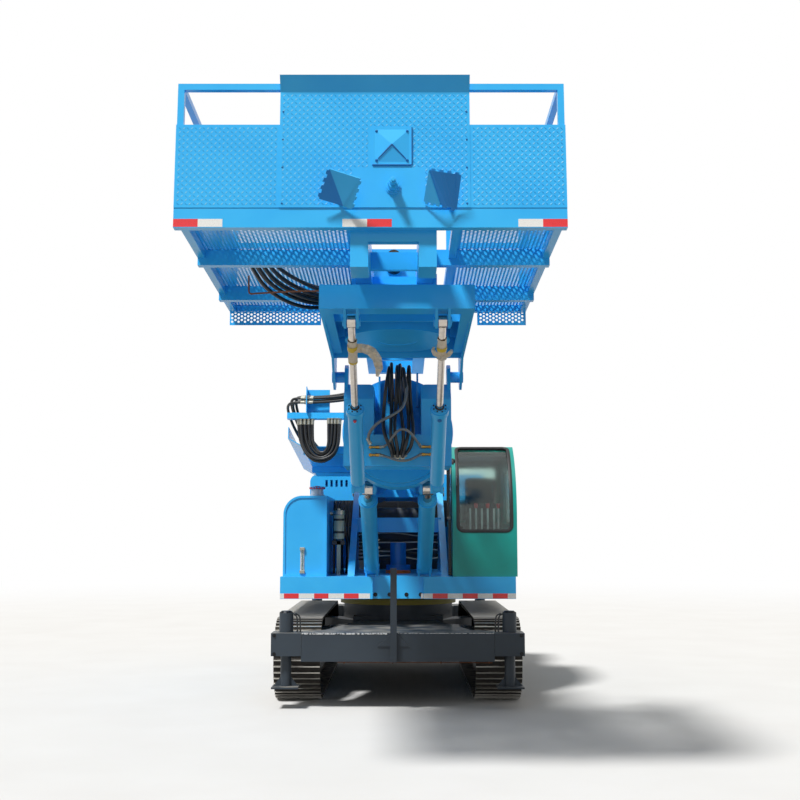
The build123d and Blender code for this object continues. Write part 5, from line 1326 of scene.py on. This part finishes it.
def padded_block(name, low, high, cap, pressure=4.0):
    """A sewn pad in a block's place: rounded, remeshed, blown up by cloth pressure and kept as a mesh."""
    low, high = Vector(low), Vector(high)
    size = high - low
    bm = bmesh.new()
    middle = Matrix.Translation((low + high) / 2)
    bmesh.ops.create_cube(bm, size=1.0, matrix=middle @ Matrix.Diagonal((*size, 1)))
    bmesh.ops.bevel(bm, geom=bm.edges[:], offset=min(size) * 0.3, segments=4, affect="EDGES")
    pad = finished(bm, name, seat_cloth, "upper")
    shape = pad.modifiers.new("voxels", "REMESH")
    shape.mode = "VOXEL"
    shape.voxel_size = 6 * MM
    cloth = pad.modifiers.new("cloth", "CLOTH")
    cloth.settings.use_pressure = True
    cloth.settings.uniform_pressure_force = pressure
    cloth.settings.effector_weights.gravity = 0
    for step in range(1, 21):
        bpy.context.scene.frame_set(step)
    depsgraph = bpy.context.evaluated_depsgraph_get()
    blown = bpy.data.meshes.new_from_object(pad.evaluated_get(depsgraph))
    bpy.context.scene.frame_set(1)
    pad.modifiers.clear()
    pad.data = blown
    for vertex in blown.vertices:
        for axis in range(3):
            vertex.co[axis] = min(max(vertex.co[axis], low[axis] - cap), high[axis] + cap)
    for share in SEAM_SHARES:
        for vertex in blown.vertices:
            depth = max(0, 1 - abs(vertex.co.x - low.x - size.x * share) / SEAM_HALF)
            inward = (low + high) / 2 - vertex.co
            inward.x = 0
            vertex.co += inward.normalized() * depth * depth * SEAM_DEEP
    for face in blown.polygons:
        face.use_smooth = True
    blown.materials.clear()
    blown.materials.append(seat_cloth)
    return pad


print("padding ready")

# %% [markdown]
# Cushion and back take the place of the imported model's plain seat. The shell is three rounded blocks.

# %% Seat
seat_pad = padded_block("seat_cushion", (0.712, -0.608, 1.572), (1.108, -0.300, 1.648), 10 * MM)
back_pad = padded_block("seat_back", (0.732, -0.278, 1.672), (1.088, -0.182, 2.238), 10 * MM)
for pad in (seat_pad, back_pad):
    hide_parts("cab_seat")
SHELL = (((0.740, 1.080), (-0.580, -0.210), (1.236, 1.520), 12 * MM),
         ((0.705, 1.115), (-0.615, -0.180), (1.520, 1.568), 14 * MM),
         ((0.745, 1.075), (-0.190, -0.172), (1.560, 2.220), 6 * MM))
seat_base = built("seat_shell", black_abs, "upper", (add_box, *SHELL))
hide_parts("cab_seat")
print("seat pads", len(seat_pad.data.vertices), "and", len(back_pad.data.vertices), "points")

# %% [markdown]
# Bolts and pins tell how steelwork is held together. They stand in rings where a flange is turned and in
# rows where a cover comes off. Sizes run from 13 mm heads on thin panels to 24 mm on the supports.

# %% Bolts
SIDES = (-1, 1)
RING_R = 0.612
COLLAR_X, COLLAR_R = 0.235, 0.147
DISC_X, DISC_Y, DISC_Z = 0.500, 0.550, 2.100
JACK_X, JACK_Y = 1.050, 2.050

collar = []
for side in SIDES:
    for degrees in range(-60, 61, 24):
        turn = math.radians((90 if side > 0 else 270) + degrees)
        at = (side * COLLAR_X + COLLAR_R * math.sin(turn), COLLAR_R * math.cos(turn), 3.460)
        collar.append((at, (0, 0, 1), 20 * MM, 12 * MM))
built("collar_bolts", zinc_plate, "boom", (add_bolt, *collar), place=BOOM)
ring = []
for c, s in on_circle(36):
    ring.append(((RING_R * c, RING_R * s, 0.962), (RING_R * c, RING_R * s, 0.985), 15 * MM, 6))
built("ring_bolts", black_oxide, "upper", (add_round, *ring))
deck_row = [((x, -1.340, 1.010), (0, -1, 0), 22 * MM, 13 * MM) for x in (-0.228, -0.085, 0.085, 0.228)]
built("deck_bolts", black_oxide, "upper", (add_bolt, *deck_row))
feet = [((x, y, 1.190), (0, 0, 1), 24 * MM, 14 * MM) for x in (-0.480, 0.480) for y in (-1.240, -1.140)]
discs = [((side * DISC_X, DISC_Y, DISC_Z), (side * (DISC_X + 0.028), DISC_Y, DISC_Z), 62 * MM, 32)
         for side in SIDES]
disc_rings = [(end, (side, 0, 0), 0.044, 6, 14 * MM) for side, (start, end, *size) in zip(SIDES, discs)]
built("support_bolts", zinc_plate, "upper", (add_bolt, *feet), (add_round, *discs), (bolt_ring, *disc_rings))
panel = [((side * 1.060, y, z), (side, 0, 0), 13 * MM, 7 * MM)
         for side in SIDES for z in (1.200, 1.560, 1.600, 1.980) for y in (0.300, 0.780, 1.360)]
built("side_panel_bolts", zinc_plate, "upper", (add_bolt, *panel))
jacks = [(side * JACK_X, end * JACK_Y) for side in SIDES for end in SIDES]
caps = [((x, y, 0.870), (x, y, 0.898), 58 * MM, 28, 50 * MM, 4 * MM) for x, y in jacks]
cap_rings = [((x, y, 0.880), (0, 0, 1), 0.058, 6, 10 * MM) for x, y in jacks]
beam_ends = [((side * 1.150, end * 2.182, z), (0, end, 0), 18 * MM, 10 * MM)
             for side in SIDES for end in SIDES for z in (0.510, 0.680)]
built("jack_head_bolts", black_oxide, "chassis", (add_round, *caps), (bolt_ring, *cap_rings),
      (add_bolt, *beam_ends))
print("bolts on the ring", len(ring), "on the panels", len(panel))

# %% [markdown]
# A weld is a bead of overlapping ripples a few millimetres high, so it is drawn as a row of lumps along
# the seam, each a little larger or smaller than the next.

# %% Welds
def add_weld(bm, start, end, radius, ripple=9 * MM):
    """A bead of overlapping ripples between two points."""
    start, end = Vector(start), Vector(end)
    count = max(2, int((end - start).length / ripple))
    for index in range(count):
        spot = start.lerp(end, (index + 0.5) / count)
        swell = 1 + 0.18 * noise.noise(spot * 60)
        bmesh.ops.create_icosphere(bm, subdivisions=1, radius=radius * swell, matrix=Matrix.Translation(spot))


beams = [((x, y, 0.492), (x, y, 0.698), 5 * MM) for x in (-0.900, 0.900) for y in (-2.180, 2.180)]
beams += [((-0.898, y, 0.700), (0.898, y, 0.700), 3.5 * MM, 12 * MM) for y in (-2.180, 2.180)]
beams += [((x, -2.182, 0.445), (x, -2.182, 0.700), 4 * MM) for x in (-0.070, -0.010)]
built("beam_welds", charcoal_enamel, "chassis", (add_weld, *beams))
seams = [((-0.718, -1.328, 1.192), (-0.718, 0.148, 1.192), 4 * MM, 14 * MM)]
for side in SIDES:
    seams.append(((side * 0.255, -1.400, 0.972), (side * 0.255, -1.400, 1.188), 4 * MM))
    seams.append(((side * 0.465, -0.262, 1.640), (side * 0.465, -0.262, 1.780), 4 * MM))
built("deck_welds", sky_blue_enamel, "upper", (add_weld, *seams))
print("welds", len(beams) + len(seams))

# %% [markdown]
# The front beam's upper edge has lost its paint to boots and slings. It also catches the light, so the bright
# strip is partly wear and partly a painted highlight. Chipped paint is bare steel in patches with hard
# borders, so a noise is cut off sharply and chooses between paint and metal on a thin strip.

# %% Worn and highlit edge of the front beam
def worn_and_highlit_paint():
    """Charcoal paint with bright steel in hard-edged patches of about 20 mm: wear, and a painted highlight
    along the edge.
    """
    material, tree, shader = new_material("chipped_charcoal_paint_and_highlight")
    where = add(tree, "ShaderNodeTexCoord").outputs["Object"]
    bare = stretch(tree, grains(tree, 20, 5.0, 0.7, where), 0.0, 1.0, 0.46, 0.50)
    feed(tree, shader, Base_Color=two_tones(tree, bare, "#343C43", "#C9CBCB"),
         Metallic=stretch(tree, bare, 0.0, 0.7), Roughness=stretch(tree, bare, 0.5, 0.35))
    return material


WORN_AND_LIT = (((-0.895, -0.100), (-2.183, -2.170), (0.688, 0.703)),
        ((0.000, 0.895), (-2.182, -2.174), (0.696, 0.702)))
built("worn_and_highlit_beam_edge", worn_and_highlit_paint(), "chassis", (add_box, *WORN_AND_LIT))
print("worn strips", len(WORN_AND_LIT))

# %% [markdown]
# Steel pipes run where nothing moves: one under the front beam, two at each front jack, two rows between
# the boom's supports and one beside the tank. Each bows in its own way, as pipes bent by hand do.

# %% Pipes
DECK_PIPE_Z = [1.330 + index * 0.042 for index in range(9)]

under = ((-0.560, -2.150, 0.434), (-0.300, -2.150, 0.430), (0.200, -2.150, 0.432), (0.880, -2.150, 0.428))
clips = [((x - 8 * MM, x + 8 * MM), (-2.162, -2.138), (0.422, 0.440)) for x in (-0.500, -0.050, 0.400, 0.850)]
built("brake_pipe", rusty_bar, "chassis", (add_pipe, (under, 9 * MM)), (add_box, *clips))
deck_row, nuts = [], []
for index, z in enumerate(DECK_PIPE_Z):
    y = -0.115 + 0.02 * (index % 3)
    bow = 0.05 * math.sin(1.9 * index)
    line = ((-0.440, y, z), (-0.200, y - 0.03, z + bow * 0.4), (0.020, y - 0.05, z + bow),
            (0.220, y - 0.03, z + bow * 0.3), (0.440, y, z))
    deck_row.append((line, (20 + 4 * (index % 2)) * MM))
    for x in (-0.28 + 0.03 * (index % 2), 0.26 - 0.04 * (index % 2)):
        nuts.append(((x, y - 0.024, z + 0.004), (x + 0.046, y - 0.024, z + 0.004), 17 * MM, 6))
built("deck_pipes", black_pipe, "upper", (add_pipe, *deck_row))
built("pipe_nuts", zinc_plate, "upper", (add_round, *nuts))
zinc_row = []
for index in range(4):
    z = 1.350 + index * 0.085
    bow = 0.03 * math.cos(2.3 * index)
    line = ((-0.440, -0.180, z), (-0.150, -0.190, z + bow), (0.060, -0.200, z + 0.4 * bow),
            (0.250, -0.190, z - bow), (0.440, -0.180, z))
    zinc_row.append((line, 16 * MM))
built("zinc_pipes", zinc_plate, "upper", (add_pipe, *zinc_row))
tank_row = []
for index in range(6):
    x = -0.690 + 0.033 * index
    sway = 0.03 * math.sin(1.7 * index)
    y = -0.520 - 0.02 * (index % 2)
    line = ((x, y, 1.192), (x + sway, y, 1.450), (x - sway, y - 0.02, 1.650), (x + 0.5 * sway, y, 1.900),
            (x, y + 0.080, 1.960))
    tank_row.append((line, 24 * MM))
built("tank_side_pipes", black_pipe, "upper", (add_pipe, *tank_row))
jack_row = []
for side, x in [(side, side * (0.945 - shift)) for side in SIDES for shift in (0, 0.028)]:
    line = ((x, -2.060, 0.700), (x, -2.060, 0.800), (x + side * 0.010, -2.060, 0.865),
            (x + side * 0.055, -2.060, 0.872))
    jack_row.append((line, 14 * MM))
built("jack_pipes", black_pipe, "chassis", (add_pipe, *jack_row))
print("pipes", 1 + len(deck_row) + len(zinc_row) + len(tank_row) + len(jack_row))

# %% [markdown]
# The slewing motor stands on an orange base with a ring of bolts. The oil cooler in the deck's recess
# shows its fins, and a grille of thin slats and five uprights stands before the radiator.

# %% Motor base, cooler and grille
built("motor_base_band", motor_orange_enamel, "upper",
      (add_round, ((0, -0.420, 1.186), (0, -0.420, 1.225), 136 * MM, 48)),
      (bolt_ring, ((0, -0.420, 1.225), (0, 0, 1), 0.118, 10, 14 * MM)))
fins = [((0.512, 0.546), (-1.290, -1.190), (1.205 + 0.025 * index, 1.205 + 0.025 * index + 0.012), 1 * MM)
        for index in range(22)]
built("cooler_fins", black_pipe, "upper",
      (add_box, ((0.514, 0.542), (-1.200, -1.180), (1.195, 1.760)), *fins))
slats = [((-1.030, 1.030), (0.822, 0.842), (1.700 + 0.020 * index, 1.700 + 0.020 * index + 0.007), 1 * MM)
         for index in range(15)]
uprights = [((x - 0.012, x + 0.012), (0.816, 0.842), (1.692, 2.008), 2 * MM)
            for x in (-1.030, -0.520, 0, 0.520, 1.030)]
built("radiator_grille", black_pipe, "upper",
      (add_box, ((-1.035, 1.035), (0.838, 0.846), (1.692, 2.008)), *slats, *uprights))
print("fins", len(fins), "slats", len(slats))

# %% [markdown]
# A cylinder ends in a gland: a flanged ring with socket screws, a black wiper seal round the rod and an oil
# port. The tilting cylinders show theirs plainly, so each gets them, and the left port has its red plug.

# %% Cylinder glands
BARREL_END = 0.920
BARREL_R = 55 * MM
ROD_R = 25 * MM
SCREWS = 8
PORT_ALONG = 0.850

front = ROD_WAY.cross(ACROSS)
front = front if front.y < 0 else -front
rings, seals, ports = [], [], []
for x in (-ROD_X, ROD_X):
    base = ROD_BASE + ACROSS * x
    end = base + ROD_WAY * BARREL_END
    rings.append((end - ROD_WAY * 34 * MM, end - ROD_WAY * 4 * MM, BARREL_R + 5 * MM, 32))
    for c, s in on_circle(SCREWS, math.pi / SCREWS):
        spot = end + (ACROSS * c + ROD_WAY.cross(ACROSS) * s) * (BARREL_R - 8 * MM)
        seals.append((spot - ROD_WAY * 4 * MM, spot + ROD_WAY * 5 * MM, 6 * MM, 10))
    seals.append((end, end + ROD_WAY * 9 * MM, ROD_R + 9 * MM, 28, ROD_R + 3 * MM, 2 * MM))
    port = base + ROD_WAY * PORT_ALONG
    ports.append((port + front * 50 * MM, port + front * 72 * MM, 16 * MM, 20))
plug = (ports[0][1], ports[0][1] + front * 12 * MM, 12 * MM, 16, 10 * MM)
built("gland_rings", sky_blue_enamel, "tilt_barrels", (add_round, *rings))
built("gland_seals", black_oxide, "tilt_barrels", (add_round, *seals))
# the port bosses take the shaded blue: painted shade
built("port_bosses", shaded_enamel, "tilt_barrels", (add_round, *ports))
built("port_plug", red_plastic, "tilt_barrels", (add_round, plug))
print("glands", len(rings))

# %% [markdown]
# The photo doesn't show the sides and the tail, so they get what such machines have: doors in the engine
# panels with a latch and pressed vents, and two round lamps in rubber rings on the counterweight.

# %% Doors and tail lamps
PANEL_X = 1.060
DOOR_SEAMS = (0.250, 0.790, 1.330)
DOOR_Z = (1.215, 1.965)
VENT_COUNT = 9
VENT_PITCH = 32 * MM
TAIL_RADIUS = max(vertex.co.y for vertex in nodes["counterweight"].data.vertices)
LAMP_X, LAMP_Z = 0.820, 1.280

seams, vents, latches, grips = [], [], [], []
for side in SIDES:
    outside = sorted((side * (PANEL_X - 2 * MM), side * (PANEL_X + 1 * MM)))
    proud = sorted((side * (PANEL_X - 2 * MM), side * (PANEL_X + 9 * MM)))
    seams += [(outside, (y - 2 * MM, y + 2 * MM), DOOR_Z) for y in DOOR_SEAMS]
    seams += [(outside, (DOOR_SEAMS[0], DOOR_SEAMS[-1]), (z - 2 * MM, z + 2 * MM)) for z in DOOR_Z]
    for index in range(VENT_COUNT):
        z = 1.640 + VENT_PITCH * index
        vents.append((proud, (0.900, 1.220), (z, z + 15 * MM), 4 * MM))
    for y in (0.720, 0.860):
        latches.append((proud, (y - 34 * MM, y + 34 * MM), (1.520, 1.610), 3 * MM))
        grips.append(((side * PANEL_X, y, 1.540), (side * (PANEL_X + 13 * MM), y, 1.540), 11 * MM, 16))
built("door_seams", seal_rubber, "upper", (add_box, *seams))
built("door_vents", sky_blue_enamel, "upper", (add_box, *vents))
built("door_latches", black_abs, "upper", (add_box, *latches), (add_round, *grips))
lamp_rings, lenses = [], []
for x in (-LAMP_X, LAMP_X):
    face = Vector((x, math.sqrt(TAIL_RADIUS ** 2 - x ** 2), LAMP_Z))
    out = Vector((face.x, face.y, 0)).normalized()
    lamp_rings.append((face - out * 10 * MM, face + out * 10 * MM, 62 * MM, 40, None, 4 * MM))
    lenses.append((face - out * 6 * MM, face + out * 16 * MM, 48 * MM, 40, None, 7 * MM))
built("tail_lamp_rings", seal_rubber, "upper", (add_round, *lamp_rings))
built("tail_lamp_lenses", red_plastic, "upper", (add_round, *lenses))
print("doors and lamps done, tail radius", round(TAIL_RADIUS, 3))

# %% The json module
import json
